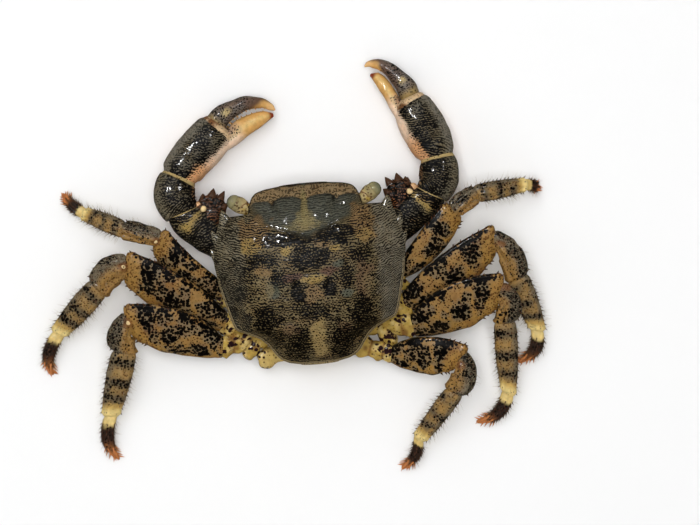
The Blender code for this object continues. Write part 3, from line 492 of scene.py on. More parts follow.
def shell_material(name, worms, spots, specks, run, spot_ink, inks, wobble, rough, relief, coat):
    """Pigment of the piece's own tone under marbling and specks, with a wet clear coat.

    `worms`, `spots` and `specks` are sizes in millimetres. `run` is how dark the worm-like
    marbling is where there are no lines, `spot_ink` how dark the round spots are, `inks` the
    tones of the black and of the specks, and `relief` the height of the lumps in millimetres.
    """
    made, tree, shader = new_material(name)
    place = add(tree, "TexCoord").outputs["Object"]
    tone = add(tree, "Attribute", attribute_name="tone").outputs["Color"]
    mark = {label: add(tree, "Attribute", attribute_name=label).outputs["Fac"] for label in MARKS}
    lines = {"phase": mark["phase"], "stripes": mark["stria"], "wobble": wobble}
    black = placed(tree, MARBLING, place=place, size=worms * MM, cover=mark["blotch"], **lines)
    spot = placed(tree, SPOTS, place=place, size=spots * MM, cover=mark["blotch"])["Mask"]
    speck = placed(tree, SPOTS, place=place, size=specks * MM, cover=mark["dots"])["Mask"]
    cloud = placed(tree, CLOUDS, place=place)

    varied = add(tree, "VectorMath", {0: tone, "Scale": cloud["Shade"]}, operation="SCALE").outputs[0]
    warm = add(tree, "VectorMath", {0: varied, 1: (1.1, 0.97, 0.86)}, operation="MULTIPLY").outputs[0]
    colour = blended(tree, cloud["Warm"], varied, warm)
    colour = blended(tree, times(tree, speck, 0.75), colour, (*inks[1], 1.0))
    lined = calculate(tree, "MAXIMUM", run, step(tree, mark["stria"], 0.0, 0.2))
    worm = times(tree, black["Mask"], lined)
    dark = calculate(tree, "MAXIMUM", worm, times(tree, spot, spot_ink))
    dark = times(tree, dark, mark["ink"])
    colour = blended(tree, dark, colour, (*inks[0], 1.0))
    tree.links.new(colour, shader.inputs["Base Color"])

    height = calculate(tree, "ADD", times(tree, cloud["Grain"], 0.8), cloud["Lump"])
    height = calculate(tree, "SUBTRACT", height, times(tree, black["Wave"], 0.35))
    bump = add(tree, "Bump", {"Height": height, "Strength": 1.0, "Distance": relief * MM})
    tree.links.new(bump.outputs["Normal"], shader.inputs["Normal"])
    gloss = add(tree, "MapRange", {"Value": cloud["Lump"], "To Min": rough * 0.5, "To Max": rough * 1.5})
    tree.links.new(gloss.outputs["Result"], shader.inputs["Roughness"])
    shader.inputs["Specular IOR Level"].default_value = 0.1
    shader.inputs["Coat Weight"].default_value = coat
    shader.inputs["Coat Roughness"].default_value = 0.1
    return made


def plain_material(name, rough, coat=0.0):
    """Clouded pigment of the piece's own tone, with a given gloss."""
    made, tree, shader = new_material(name)
    cloud = placed(tree, CLOUDS, place=add(tree, "TexCoord").outputs["Object"])
    tone = add(tree, "Attribute", attribute_name="tone").outputs["Color"]
    varied = add(tree, "VectorMath", {0: tone, "Scale": cloud["Shade"]}, operation="SCALE").outputs[0]
    tree.links.new(varied, shader.inputs["Base Color"])
    shader.inputs["Roughness"].default_value = rough
    shader.inputs["Coat Weight"].default_value = coat
    return made


SOOT = TONES["soot"]
SPECK = TONES["speck brown"]
SHELL_SKIN = shell_material("marbled_shell", 0.52, 0.42, 0.5, 1.0, 0.2, (SOOT, SOOT), 2.2, 0.38, 0.13, 0.3)
LEG_SKIN = shell_material("blotched_leg", 0.35, 0.56, 0.45, 0.0, 1.0, (SOOT, SPECK), 1.2, 0.4, 0.07, 0.3)
CLAW_SKIN = shell_material(
    "striated_claw", 0.56, 0.45, 0.5, 1.0, 0.2, (TONES["claw black"], SOOT), 1.6, 0.34, 0.14, 0.2
)
ROOT_SKIN = shell_material(
    "leg_root", 0.5, 0.8, 0.7, 0.0, 1.0, (TONES["root purple"], SPECK), 0.8, 0.36, 0.08, 0.4
)
BELLY_SKIN = shell_material(
    "belly_plate", 0.9, 0.9, 1.0, 0.4, 0.3, (TONES["rust"], TONES["rust"]), 0.8, 0.42, 0.05, 0.2
)
EYE_SKIN = plain_material("cornea", 0.1, coat=0.8)
BRISTLE_SKIN = plain_material("bristle_horn", 0.5)
print("materials:", len(bpy.data.materials))

# %% [markdown]
# ## The shell
# The shield over the body is a squarish dome. Its half width, ridge and rim change from rear
# to front, so it is a tube of cross-sections along the body: the dome on top, a thin rolled
# rim, and the underside that slopes in to the body. Pads, grooves and discs are soft hills. It
# could be sculpted, but here one number moves a pad and the outline stays exact.

# %% Shell sizes
SHELL_STATIONS = (
    # y, half width, ridge height, rim height, underside height, half width of the underside
    (-17.1, 3.6, 9.1, 8.7, 6.5, 1.5),
    (-16.6, 5.8, 10.1, 8.7, 6.5, 2.3),
    (-15.5, 7.6, 11.4, 8.7, 6.5, 3.6),
    (-13.6, 9.0, 12.9, 8.7, 6.5, 5.0),
    (-11.9, 10.5, 13.8, 8.8, 6.5, 6.5),
    (-10.6, 12.9, 14.3, 8.9, 6.5, 8.9),
    (-9.5, 15.1, 14.6, 9.0, 6.5, 8.1),
    (-7.2, 16.0, 15.0, 9.1, 6.5, 9.0),
    (-4.4, 16.7, 15.4, 9.2, 6.5, 9.7),
    (-1.5, 17.4, 15.6, 9.3, 6.5, 10.4),
    (1.2, 17.8, 15.6, 9.4, 6.5, 10.8),
    (4.2, 18.1, 15.4, 9.5, 6.5, 11.1),
    (6.8, 17.7, 15.0, 9.5, 6.5, 10.7),
    (9.0, 17.0, 14.4, 9.5, 6.5, 10.0),
    (10.8, 16.4, 13.8, 9.5, 6.5, 9.4),
    (11.7, 15.2, 13.4, 9.5, 6.5, 8.2),
    (11.9, 10.8, 13.3, 11.2, 6.5, 9.3),
    (12.1, 10.75, 13.2, 11.15, 9.85, 9.25),
    (13.2, 10.5, 12.6, 10.9, 9.6, 9.0),
    (14.6, 10.0, 11.6, 10.2, 8.9, 8.5),
    (15.6, 9.2, 10.6, 9.6, 8.3, 7.7),
    (16.2, 7.6, 9.8, 9.2, 7.9, 6.1),
    (16.6, 4.6, 9.2, 8.9, 7.6, 3.1),
)
DOME_POWER = 2.7
LIP = 0.9
LOBE_STEP = 0.14  # depth of the groove that sets the lobes off from the middle
SHELL_COLUMNS = 250
UNDER_COLUMNS = 40
SHELL_ROWS = ((-17.1, 11.6, 230), (11.62, 12.2, 14), (12.3, 16.6, 40))  # first y, last y, rows
print("widest half of the shell:", max(station[1] for station in SHELL_STATIONS))

# %% Pads, grooves and discs of the shell: x, y, reach in x, reach in y, height
SHELL_RELIEF = (
    (-3.0, 12.3, 2.2, 2.3, 0.5), (3.1, 12.4, 2.2, 2.3, 0.5),
    (-8.2, 13.3, 1.7, 1.3, 0.45), (8.3, 13.5, 1.7, 1.3, 0.45),
    (0.0, 13.2, 0.5, 3.2, -0.45), (-5.7, 13.2, 0.45, 1.6, -0.45), (5.8, 13.3, 0.45, 1.6, -0.45),
    (0.0, 7.8, 4.5, 1.6, 0.16), (-5.6, 8.2, 2.6, 1.8, 0.14), (5.6, 8.4, 2.6, 1.8, 0.14),
    (-3.1, -2.6, 0.8, 1.0, -0.22), (3.1, -2.6, 0.8, 1.0, -0.22), (0.0, -0.2, 4.0, 0.5, -0.14),
    (-7.0, -3.3, 1.1, 1.0, -0.14), (6.1, -4.8, 1.2, 0.9, 0.12), (-7.6, 0.6, 0.8, 2.2, -0.12),
    (7.2, 0.4, 0.8, 2.2, -0.12), (-11.5, 2.6, 2.4, 0.6, -0.16), (11.3, 2.4, 2.4, 0.6, -0.16),
    (0.0, -6.8, 3.0, 2.6, 0.1), (-9.5, -6.5, 3.4, 3.4, 0.12), (9.5, -6.5, 3.4, 3.4, 0.12),
    (-5.0, -8.9, 2.4, 0.5, -0.12), (5.0, -8.9, 2.4, 0.5, -0.12), (0.0, -13.0, 1.4, 3.0, 0.12),
)
LOBE_GROOVE = (6.2, 0.4, 0.45)  # y behind the lobes, its rise for each millimetre outwards, width
print("pads and grooves:", len(SHELL_RELIEF))

# %% Markings of the shell: tone, x, y, reach in x, reach in y, strength, change of the cover
SHELL_MARKS = (
    ("median", -0.1, 12.6, 0.6, 3.8, 0.9, -0.1),
    ("median", -0.1, 10.0, 1.5, 1.7, 0.6, -0.1), ("median", 0.0, 8.8, 3.6, 1.2, 0.6, -0.1),
    ("rust", -9.6, 8.2, 2.6, 3.0, 0.75, 0.0), ("ochre", -10.6, 5.7, 1.9, 1.3, 0.55, -0.08),
    ("rust", 10.3, 8.2, 2.2, 3.4, 0.85, 0.0), ("ochre", 10.3, 6.0, 1.6, 1.2, 0.3, -0.1),
    ("soot", -4.6, 6.6, 4.3, 1.4, 0.25, 0.4), ("soot", 5.0, 6.8, 4.0, 1.9, 0.25, 0.42),
    ("blue black", 0.0, 2.9, 3.8, 2.0, 0.25, 0.38), ("soot", -8.4, 2.9, 3.2, 1.3, 0.2, 0.3),
    ("ochre", -4.2, 4.4, 1.3, 1.0, 0.8, -0.14), ("ochre", 4.8, 4.2, 1.0, 0.8, 0.7, -0.14),
    ("rust", 2.4, 5.0, 1.7, 0.7, 0.5, -0.2), ("soot", 9.4, 2.6, 2.6, 1.5, 0.2, 0.3),
    ("plum", -3.6, -0.6, 1.9, 0.75, 0.8, -0.1), ("plum", 4.0, 0.0, 1.8, 0.9, 0.75, -0.1),
    ("disc", 5.0, 1.1, 1.0, 0.75, 0.8, -0.25), ("ochre", 0.2, -1.4, 2.3, 0.8, 0.8, -0.25),
    ("rust", 0.1, -3.9, 1.9, 1.9, 0.65, -0.1), ("blue black", -2.7, -3.5, 1.1, 2.1, 0.6, 0.6),
    ("blue black", 3.2, -3.0, 1.1, 1.6, 0.6, 0.6), ("disc", -6.9, -3.1, 1.5, 1.5, 0.9, -0.2),
    ("disc", 6.4, -4.5, 1.3, 0.9, 0.85, -0.2), ("soot", -6.2, -0.9, 1.2, 1.3, 0.2, 0.3),
    ("soot", 6.6, -1.2, 1.3, 2.4, 0.2, 0.25), ("tan", -9.2, -1.7, 1.6, 3.4, 0.5, -0.06),
    ("rust", -9.0, 0.9, 1.5, 0.9, 0.6, -0.2), ("plum", 9.8, -1.9, 1.9, 3.8, 0.45, -0.12),
    ("tan", 10.6, -3.2, 1.2, 2.6, 0.45, -0.08), ("soot", -12.0, 0.6, 1.3, 1.7, 0.1, 0.2),
    ("soot", -8.9, -7.9, 2.4, 2.4, 0.25, 0.42), ("soot", 8.9, -8.6, 2.1, 3.6, 0.25, 0.44),
    ("blue black", 0.0, -7.4, 3.2, 1.5, 0.3, 0.26), ("soot", -3.6, -13.2, 2.3, 2.8, 0.2, 0.4),
    ("soot", 4.4, -13.0, 2.3, 3.0, 0.25, 0.42), ("soot", -7.4, -11.4, 1.5, 1.7, 0.2, 0.25),
    ("plum", -4.7, -10.5, 1.5, 1.0, 0.35, -0.15), ("plum", 5.2, -10.6, 1.4, 1.0, 0.35, -0.1),
    ("pale", 0.4, -12.8, 1.6, 3.2, 0.75, -0.24), ("tan", -13.4, -6.6, 1.2, 2.6, 0.4, -0.1),
)

# %% Blending tones, and hills by a formula
def mixed(tone, colour, share):
    """A tone moved towards a colour by a share at each point. Each may be a name in the palette."""
    tone, colour = (TONES[one] if isinstance(one, str) else one for one in (tone, colour))
    return tone + (colour - tone) * np.asarray(share)[..., None]


def hills(x, y, features):
    """The sum of round hills: height times exp(-(dx/rx)^2 - (dy/ry)^2)."""
    total = np.zeros_like(x)
    for middle_x, middle_y, reach_x, reach_y, height in features:
        total += height * np.exp(-(((x - middle_x) / reach_x) ** 2) - ((y - middle_y) / reach_y) ** 2)
    return total


# %% Rings of the shell
def shell_rows():
    """Places along the body, closer together where the outline turns in at the eyes."""
    return np.concatenate([np.linspace(*stretch) for stretch in SHELL_ROWS])


def shell_rings():
    """The whole shell as rings: over the dome by sine steps, round the lip, back underneath.

    The dome's height is the ridge less (ridge - rim) times |x / half width| to a power.
    """
    y = shell_rows()
    stations = np.array(SHELL_STATIONS)
    half, ridge, rim, under, inner = flowing(stations[:, 0], stations[:, 1:], y).T
    across = np.sin(np.linspace(-0.5 * np.pi, 0.5 * np.pi, SHELL_COLUMNS))
    top_x = half[:, None] * across
    top_z = ridge[:, None] - (ridge - rim)[:, None] * np.abs(across) ** DOME_POWER
    fade = 1 - np.abs(across) ** 8  # the relief dies out towards the rim
    groove_y, groove_rise, groove_width = LOBE_GROOVE
    behind_lobes = hump(y[:, None] - groove_y - groove_rise * np.abs(top_x), groove_width)
    behind_lobes = behind_lobes * smooth(11.5, 9.5, np.abs(top_x))
    grid_y = np.broadcast_to(y[:, None], top_x.shape)
    spots = np.stack([top_x, grid_y, top_z], axis=-1)
    grain = 0.05 * lumps(spots, 1.3, 3) + 0.03 * lumps(spots, 0.6, 4)
    top_z = top_z + (hills(top_x, grid_y, SHELL_RELIEF) + grain - LOBE_STEP * behind_lobes) * fade

    turn = np.linspace(0, 1, UNDER_COLUMNS // 2 + 2)[1:-1]
    lip = np.minimum(LIP, rim - under)
    knots = np.array([0.0, 0.16, 0.3, 1.0])
    path_x = np.stack([half, half + 0.02, half - 0.45, inner], axis=0)
    path_z = np.stack([rim, rim - 0.5 * lip, rim - lip, under], axis=0)
    right_x = flowing(knots, path_x, turn).T
    right_z = flowing(knots, path_z, turn).T
    under_x = np.hstack([right_x, -right_x[:, ::-1]])
    under_z = np.hstack([right_z, right_z[:, ::-1]])
    under_y = np.broadcast_to(y[:, None], under_x.shape)
    rings = np.concatenate([spots[..., :2], top_z[..., None]], axis=-1)
    below = np.stack([under_x, under_y, under_z], axis=-1)
    return np.concatenate([rings, below], axis=1), half


def edge_distance(x, y, half, rows):
    """How far a point lies inside the outline, from the nearest step of the outline itself."""
    outline = np.concatenate([np.column_stack([half, rows]), np.column_stack([-half, rows])[::-1]])
    spots = np.column_stack([x.ravel(), y.ravel()])
    nearest = np.full(len(spots), 99.0)
    for start, end in zip(outline, np.roll(outline, -1, axis=0)):
        leg = end - start
        share = np.clip(((spots - start) @ leg) / max(leg @ leg, 1e-9), 0, 1)
        away = np.linalg.norm(spots - start - share[:, None] * leg, axis=1)
        nearest = np.minimum(nearest, away)
    return nearest.reshape(x.shape)


print("rings along the shell:", len(shell_rows()))

# %% [markdown]
# The pattern of the shield is partly this crab's own and partly chance. Its large marks stand
# where the crab in the photograph has them, and noise frays their edges. The fine
# marbling between them comes from the material.

# %% Lines, rim and lobes of the shell
LINE_PITCH = 0.48
LEAST_COVER = 0.16  # so that the palest places keep thin lines
MOST_COVER = 0.8  # so that the blackest places keep small pale islands
FLANK_RISE = 0.42  # of the flank's lines, for each millimetre outwards
RIM_LINES = ((0.52, 0.09), (0.2, 0.06))  # dark lines along the rear edge: depth inside it, width
BROW_LOBES = ((-8.2, 14.0, 1.9), (-3.1, 14.4, 2.4), (3.1, 14.4, 2.4), (8.2, 14.0, 1.9))  # x, y, half width


def brow_edge(x):
    """How far forward the four lobes behind the brow reach at each x.

    A lobe reaches to its y at its middle, less half of (dx / half width)^4 beside it.
    """
    reaches = [front - 0.5 * ((x - middle) / half) ** 4 for middle, front, half in BROW_LOBES]
    return np.max(reaches, axis=0)


def front_shares(x, y, ragged):
    """How much each place lies on the brow, on the lobes behind it, and on the line between."""
    side = np.abs(x)
    edge = 6.3 + 0.4 * side + 0.35 * ragged
    ahead = y - brow_edge(x)
    brow = smooth(-0.12, 0.12, ahead + 0.12 * ragged) * smooth(12.3, 12.8, y)
    lobes = smooth(-0.5, 0.7, y - edge) * smooth(10.4, 8.0, side - 0.55 * (y - 11.5)) * (1 - brow)
    between = hump(ahead + 0.15, 0.14) * smooth(9.6, 9.0, side) * smooth(12.3, 12.8, y)
    return brow, lobes, between


# %% Flanks, marks and edges of the shell
BROW_GROOVE_SHADES = (-5.75, 5.45)  # x of the grooves between the brow's lobes, where shade is painted along each


def flanked(tone, cover, rings, ragged):
    """The grey of the flanks, partly the shell's own and partly a painted sheen, outside a border that runs
    along each side of the middle.
    """
    x, y = rings[..., 0], rings[..., 1]
    border = 12.6 - 0.25 * smooth(6.0, 12.0, y) - 0.9 * (x < 0) * smooth(0, 6, y)
    flank = smooth(-0.9, 0.9, np.abs(x) - border + 0.5 * ragged)
    # Painted sheen: the flanks' grey, lighter on the right, is partly the shell's own grey and partly a
    # painted sheen.
    tone = mixed(tone, "side grey", flank * 0.9)
    tone = mixed(tone, "claw grey", 0.5 * flank * (x > 0))
    rearward = (0.26 - 0.24 * (x > 0)) * smooth(5, -5, y) + 0.06 * (x < 0)
    cover = cover + flank * (0.2 * lumps(rings, 2.6, 17) + rearward)
    brown = smooth(0.0, 0.7, lumps(rings, 2.4, 18) + 0.08 * (y - 4))
    return mixed(tone, "umber", 0.3 * flank * brown), cover, flank


def marked(tone, cover, x, y, ragged):
    """The listed marks, each an oval that fades out round its edge."""
    for name, middle_x, middle_y, reach_x, reach_y, strength, change in SHELL_MARKS:
        away = np.sqrt(((x - middle_x) / reach_x) ** 2 + ((y - middle_y) / reach_y) ** 2)
        mask = smooth(1.25, 0.75, away + 0.5 * ragged)
        tone = mixed(tone, name, strength * mask)
        cover = cover + change * mask
    return tone, cover


def edged(tone, x, y, inside):
    """Painted shade along the grooves between the brow's lobes, the dark front edge, and the pale hem of the
    rear half with its dark lines.
    """
    # Painted shade: soot down each groove between the brow's lobes, where the relief dips.
    for middle in BROW_GROOVE_SHADES:
        groove = hump(x - middle, 0.3) * smooth(12.4, 13.2, y) * smooth(14.3, 13.9, y)
        tone = mixed(tone, SOOT, 0.75 * groove)
    tone = mixed(tone, SOOT, 0.85 * smooth(0.34, 0.1, inside) * smooth(11.0, 12.4, y))
    rear = smooth(3.0, -3.0, y)
    hem = smooth(0.5, 0.38, inside) * rear
    tone = mixed(tone, "rim", 0.8 * hem)
    for depth, width in RIM_LINES:
        tone = mixed(tone, SOOT, 0.85 * hump(inside - depth, width) * rear)
    return tone, hem


# %% Finish of the shell
def shell_finish(rings, inside):
    """Tone, cover, specks and line phase of the shell from its marks, lobes, flanks and rim."""
    x, y, z = rings[..., 0], rings[..., 1], rings[..., 2]
    side = np.abs(x)
    ragged = lumps(rings, 1.5, 11) + 0.6 * lumps(rings, 0.7, 12)
    rust = smooth(0.1, 1.1, lumps(rings, 2.2, 14) + 0.3 * ragged)
    tone = mixed("umber", "rust", 0.3 * rust)
    cover = 0.48 + 0.08 * lumps(rings, 2.6, 13) + 0.1 * ragged
    tone, cover, flank = flanked(tone, cover, rings, ragged)
    brow, lobes, between = front_shares(x, y, ragged)
    tone = mixed(tone, "lobe grey", lobes)
    tone = mixed(tone, mixed("brow", "rust", 0.7 * rust), brow)
    cover = cover * (1 - lobes) * (1 - brow) + 0.47 * lobes + 0.4 * brow
    tone = mixed(tone, SOOT, 0.6 * between)
    tone, cover = marked(tone, cover, x, y, ragged)
    tone, hem = edged(tone, x, y, inside)
    cover = cover * (1 - 0.9 * hem)
    beneath = smooth(0.0, -0.8, z - 8.6)
    tone = mixed(tone, "tan", beneath)
    fan = smooth(3.5, 7.0, y) * smooth(13.5, 8.0, side)
    lines = np.clip(0.55 * flank + 0.55 * lobes + 0.4 * fan + 0.24, 0, 0.62) * (1 - hem) * (1 - brow)
    rise = (FLANK_RISE + 0.07 * np.clip(3.0 - y, 0, 12)) * np.clip(side - 11.0, 0, 9)
    return {
        "tone": tone,
        "blotch": np.clip(cover, LEAST_COVER * (1 - hem), MOST_COVER),
        "dots": 0.05 * (1 - hem) * (1 - flank) * (1 - lobes),
        "ink": 1 - 0.3 * lobes - 0.05 * flank - 0.25 * brow,
        "stria": lines,
        "phase": (y - rise) / (LINE_PITCH - 0.06 * lobes) + 0.45 * ragged,
    }


print("marks set by hand:", len(SHELL_MARKS))

# %% [markdown]
# The rim is a thin raised line just inside the edge. The teeth behind each eye are flattened
# horns that point forwards, with their roots sunk in the shell. They are forms of their own,
# because the shell's grid is too coarse for a sharp point.

# %% Tubes through stations, used for horns and claws
END_ROWS = 7


def domed(centres, normals, rolls, half_widths, half_depths, bulge):
    """Adds rows beyond both ends, each narrowed by a cosine and moved out by a sine."""
    turn = np.linspace(0.49 * np.pi, 0.0, END_ROWS, endpoint=False)
    lift = (np.sin(turn) * bulge)[:, None]
    thin = np.cos(turn)
    first = centres[:1] - normals[:1] * half_depths[0] * lift
    final = (centres[-1:] + normals[-1:] * half_depths[-1] * lift)[::-1]
    many = np.ones(END_ROWS)
    return (
        np.vstack([first, centres, final]),
        np.vstack([np.outer(many, normals[0]), normals, np.outer(many, normals[-1])]),
        np.concatenate([rolls[0] * many, rolls, rolls[-1] * many]),
        np.concatenate([half_widths[0] * thin, half_widths, half_widths[-1] * thin[::-1]]),
        np.concatenate([half_depths[0] * thin, half_depths, half_depths[-1] * thin[::-1]]),
    )


def sections(centres, normals, rolls, half_widths, half_depths, columns, power=2.3):
    """Oval sections as one grid.

    A point is the centre, plus the wide axis times |cos|^(2/power), plus the deep axis times
    |sin|^(2/power), each with the sign of its cosine or sine.
    """
    level = unit(np.cross(UP, normals))
    upright = np.cross(normals, level)
    turn = np.radians(rolls)[:, None]
    across = level * np.cos(turn) + upright * np.sin(turn)
    through = upright * np.cos(turn) - level * np.sin(turn)
    angle = 2 * np.pi * np.arange(columns) / columns
    wide = np.sign(np.cos(angle)) * np.abs(np.cos(angle)) ** (2 / power)
    deep = np.sign(np.sin(angle)) * np.abs(np.sin(angle)) ** (2 / power)
    return (
        centres[:, None]
        + across[:, None] * (half_widths[:, None] * wide)[..., None]
        + through[:, None] * (half_depths[:, None] * deep)[..., None]
    )


def path_tube(stations, first_normal, last_normal, rows, columns, bulge=0.4, power=2.3):
    """A tube through stations of x, y, z, width and depth, between two end faces."""
    table = np.array(stations, float)
    steps = np.linalg.norm(np.diff(table[:, :3], axis=0), axis=1)
    knots = np.concatenate([[0], np.cumsum(steps)]) / steps.sum()
    share = np.linspace(0, 1, rows)
    dense = flowing(knots, table, share)
    centres = dense[:, :3]
    normals = unit(np.gradient(centres, axis=0))
    held = smooth(0.0, 0.16, share)[:, None]
    freed = smooth(1.0, 0.84, share)[:, None]
    normals = unit(unit(np.array([first_normal], float)) * (1 - held) + normals * held)
    normals = unit(unit(np.array([last_normal], float)) * (1 - freed) + normals * freed)
    shape = domed(centres, normals, np.zeros(rows), dense[:, 3] / 2, dense[:, 4] / 2, bulge)
    full = np.concatenate([np.zeros(END_ROWS), share, np.ones(END_ROWS)])
    return sections(*shape, columns, power), full


def ring_axes(rows_share, columns):
    """The share along a tube and its wide and deep coordinates, from -1 to 1, as grids."""
    angle = 2 * np.pi * np.arange(columns) / columns
    share = np.broadcast_to(rows_share[:, None], (len(rows_share), columns))
    wide = np.broadcast_to(np.cos(angle), share.shape)
    deep = np.broadcast_to(np.sin(angle), share.shape)
    return share, wide, deep


# %% Teeth of the shell: stations of x, y, z, width, depth for the right side
SHELL_TEETH = (
    (
        (14.6, 9.6, 9.8, 3.0, 1.5), (15.2, 11.0, 9.8, 2.4, 1.2), (15.5, 12.3, 9.8, 1.3, 0.9),
        (15.6, 13.15, 9.8, 0.3, 0.4),
    ),
    (
        (16.5, 6.4, 9.4, 2.0, 1.0), (17.2, 7.8, 9.4, 1.6, 0.9), (17.7, 8.9, 9.4, 0.8, 0.7),
        (17.9, 9.5, 9.4, 0.2, 0.3),
    ),
    (
        (17.1, 3.4, 9.3, 1.7, 0.9), (17.9, 4.9, 9.3, 1.2, 0.8), (18.3, 5.7, 9.3, 0.6, 0.5),
        (18.45, 6.1, 9.3, 0.2, 0.3),
    ),
)


def mirror(stations, side):
    """The same stations on the crab's left where side is -1."""
    return [(side * row[0], *row[1:]) for row in stations]


def end_ways(stations):
    """The ways of the first and the last step between stations."""
    places = np.array(stations)[:, :3]
    return places[1] - places[0], places[-1] - places[-2]


def drawn_in(ring, reach):
    """Rows that close an end of the shell: the ring drawn in to its middle and moved out."""
    turn = np.linspace(0.49 * np.pi, 0.0, END_ROWS, endpoint=False)[:, None, None]
    middle = ring.mean(axis=0)
    return middle + (ring - middle) * np.cos(turn) + np.array([0.0, reach, 0.0]) * np.sin(turn)


def make_shell():
    """The shell with its rim line and teeth."""
    rings, half = shell_rings()
    inside = edge_distance(rings[..., 0], rings[..., 1], half, shell_rows())
    top = np.zeros(rings.shape[:2])
    top[:, :SHELL_COLUMNS] = 1.0
    rear = smooth(3.0, -3.0, rings[..., 1])
    ridge = 0.14 * hump(inside - 0.32, 0.13)
    ridge -= 0.06 * hump(inside - 0.6, 0.15)
    rings = rings + UP * (ridge * top * rear)[..., None]
    marks = shell_finish(rings, inside)
    closed = np.concatenate([drawn_in(rings[0], -0.3), rings, drawn_in(rings[-1], 0.25)[::-1]])
    rows = [0] * END_ROWS + list(range(len(rings))) + [len(rings) - 1] * END_ROWS
    parts = [tube(closed, **{name: values[rows] for name, values in marks.items()})]
    for side in (-1, 1):
        for stations in SHELL_TEETH:
            mirrored = mirror(stations, side)
            horn, share = path_tube(mirrored, *end_ways(mirrored), 30, 32)
            along, _, _ = ring_axes(share, 32)
            # The teeth take the flanks' grey, which is partly a painted sheen.
            tone = mixed("side grey", "tan", 0.5 * smooth(0.7, 1, along))
            lines = (horn[..., 1] - FLANK_RISE * (np.abs(horn[..., 0]) - 11.0)) / LINE_PITCH
            parts.append(tube(horn, tone=tone, blotch=0.46, stria=0.5, phase=lines))
    return piece("shell_shield", parts, SHELL_SKIN, ["carapace"])


shell = make_shell()
print("shell faces:", len(shell.data.polygons))

# %% [markdown]
# ## Walking legs
# Each leg has five segments: a short base, the broad merus, the knee or carpus, the propodus
# and the spiny dactyl. The joints' places are the driving sizes. Each segment's sections turn
# from one joint plane to the next, and rounded ends tuck it into its neighbour. One function
# makes all seven legs, so that a change of a profile shows on each.

# %% Knobs and flesh that show at the joints: x, y, z, radius, tone
KNOBS = (
    (-19.1, 13.8, 7.6, 0.6, "knob"), (19.9, 13.4, 7.6, 0.6, "knob"),
    (-19.9, 14.6, 6.2, 0.8, "flesh"), (20.7, 14.2, 6.2, 0.75, "flesh"),
    (-35.0, 4.5, 9.9, 0.55, "knob"), (-35.2, -6.1, 9.9, 0.55, "knob"), (-28.6, 8.6, 8.9, 0.45, "knob"),
    (36.1, 2.1, 9.6, 0.5, "knob"), (36.0, -6.5, 9.8, 0.55, "knob"), (26.4, -20.2, 9.3, 0.45, "knob"),
)


def ringed(tone, cover, spots):
    """Draws a red-brown ring round each knob by the distance from it, and clears its blotches."""
    for x, y, z, radius, _ in KNOBS:
        away = np.linalg.norm(spots - np.array([x, y, z]), axis=-1) / radius
        ring = smooth(2.6, 1.5, away + 0.3 * lumps(spots, 0.8, 15))
        tone = mixed(tone, "root brown", 0.75 * ring)
        cover = cover * (1 - 0.7 * ring)
    return tone, cover


# %% Sizes of the thorax, where the limbs are rooted
GAP = 0.3
THORAX_STATIONS = (
    # y, half width, height of the underside
    (-15.9, 5.4, 0.0), (-12.4, 7.3, 0.0), (-8.4, 9.4, 0.0), (-3.6, 10.1, 0.0), (1.0, 10.1, 0.0),
    (6.6, 8.4, 0.0), (8.0, 7.2, 0.6), (11.5, 6.6, 4.6),
)
THORAX_SIDES = [station[:2] for station in THORAX_STATIONS[:6]]  # ends of the faces that carry limbs
ROOT_HEIGHT = 3.45
FACET_OF_CLAW = 4
FACET_OF_LEG = {1: 3, 2: 2, 3: 1, 4: 0}

# %% Profiles: share of the length, share of the width, share of the depth
PROFILES = {
    "base": (
        (0.0, 0.84, 1.0), (0.07, 0.90, 1.1), (0.26, 0.92, 1.12), (0.40, 0.78, 0.94),
        (0.50, 0.78, 0.90), (0.72, 0.96, 0.94), (0.94, 0.96, 0.84), (1.0, 0.88, 0.74),
    ),
    "merus": (
        (0.0, 0.50, 0.74), (0.05, 0.58, 0.84), (0.2, 0.78, 1.0), (0.4, 0.95, 1.0),
        (0.6, 1.0, 0.98), (0.8, 0.95, 0.94), (0.95, 0.84, 0.88), (1.0, 0.74, 0.78),
    ),
    "carpus": (
        (0.0, 0.84, 0.80), (0.09, 0.93, 0.92), (0.35, 1.0, 1.0), (0.65, 1.0, 1.0),
        (0.9, 0.96, 0.92), (1.0, 0.86, 0.80),
    ),
    "propodus": (
        (0.0, 0.86, 0.82), (0.06, 0.97, 0.94), (0.3, 1.0, 1.0), (0.6, 0.93, 0.9),
        (0.85, 0.80, 0.78), (0.96, 0.72, 0.74), (1.0, 0.62, 0.64),
    ),
    "dactyl": (
        (0.0, 1.06, 0.92), (0.06, 1.14, 1.0), (0.3, 1.16, 0.96), (0.6, 0.98, 0.8),
        (0.85, 0.62, 0.54), (0.96, 0.36, 0.32), (1.0, 0.16, 0.18),
    ),
}
LEG_DEPTHS = {"base": 3.2, "merus": 2.9, "carpus": 3.2, "propodus": 2.5, "dactyl": 1.8}
LEG_ROLLS = (12.0, 32.0, 26.0, 12.0, 4.0, 0.0)
LEG_BLENDS = (0.5, 0.38, 0.5, 0.5)
HELD_SHARE = 0.1
LEG_BULGE = 0.45
LEG_ROWS = {"base": 46, "merus": 130, "carpus": 66, "propodus": 110, "dactyl": 84}
LEG_COLUMNS = 72
print("segments:", list(PROFILES))

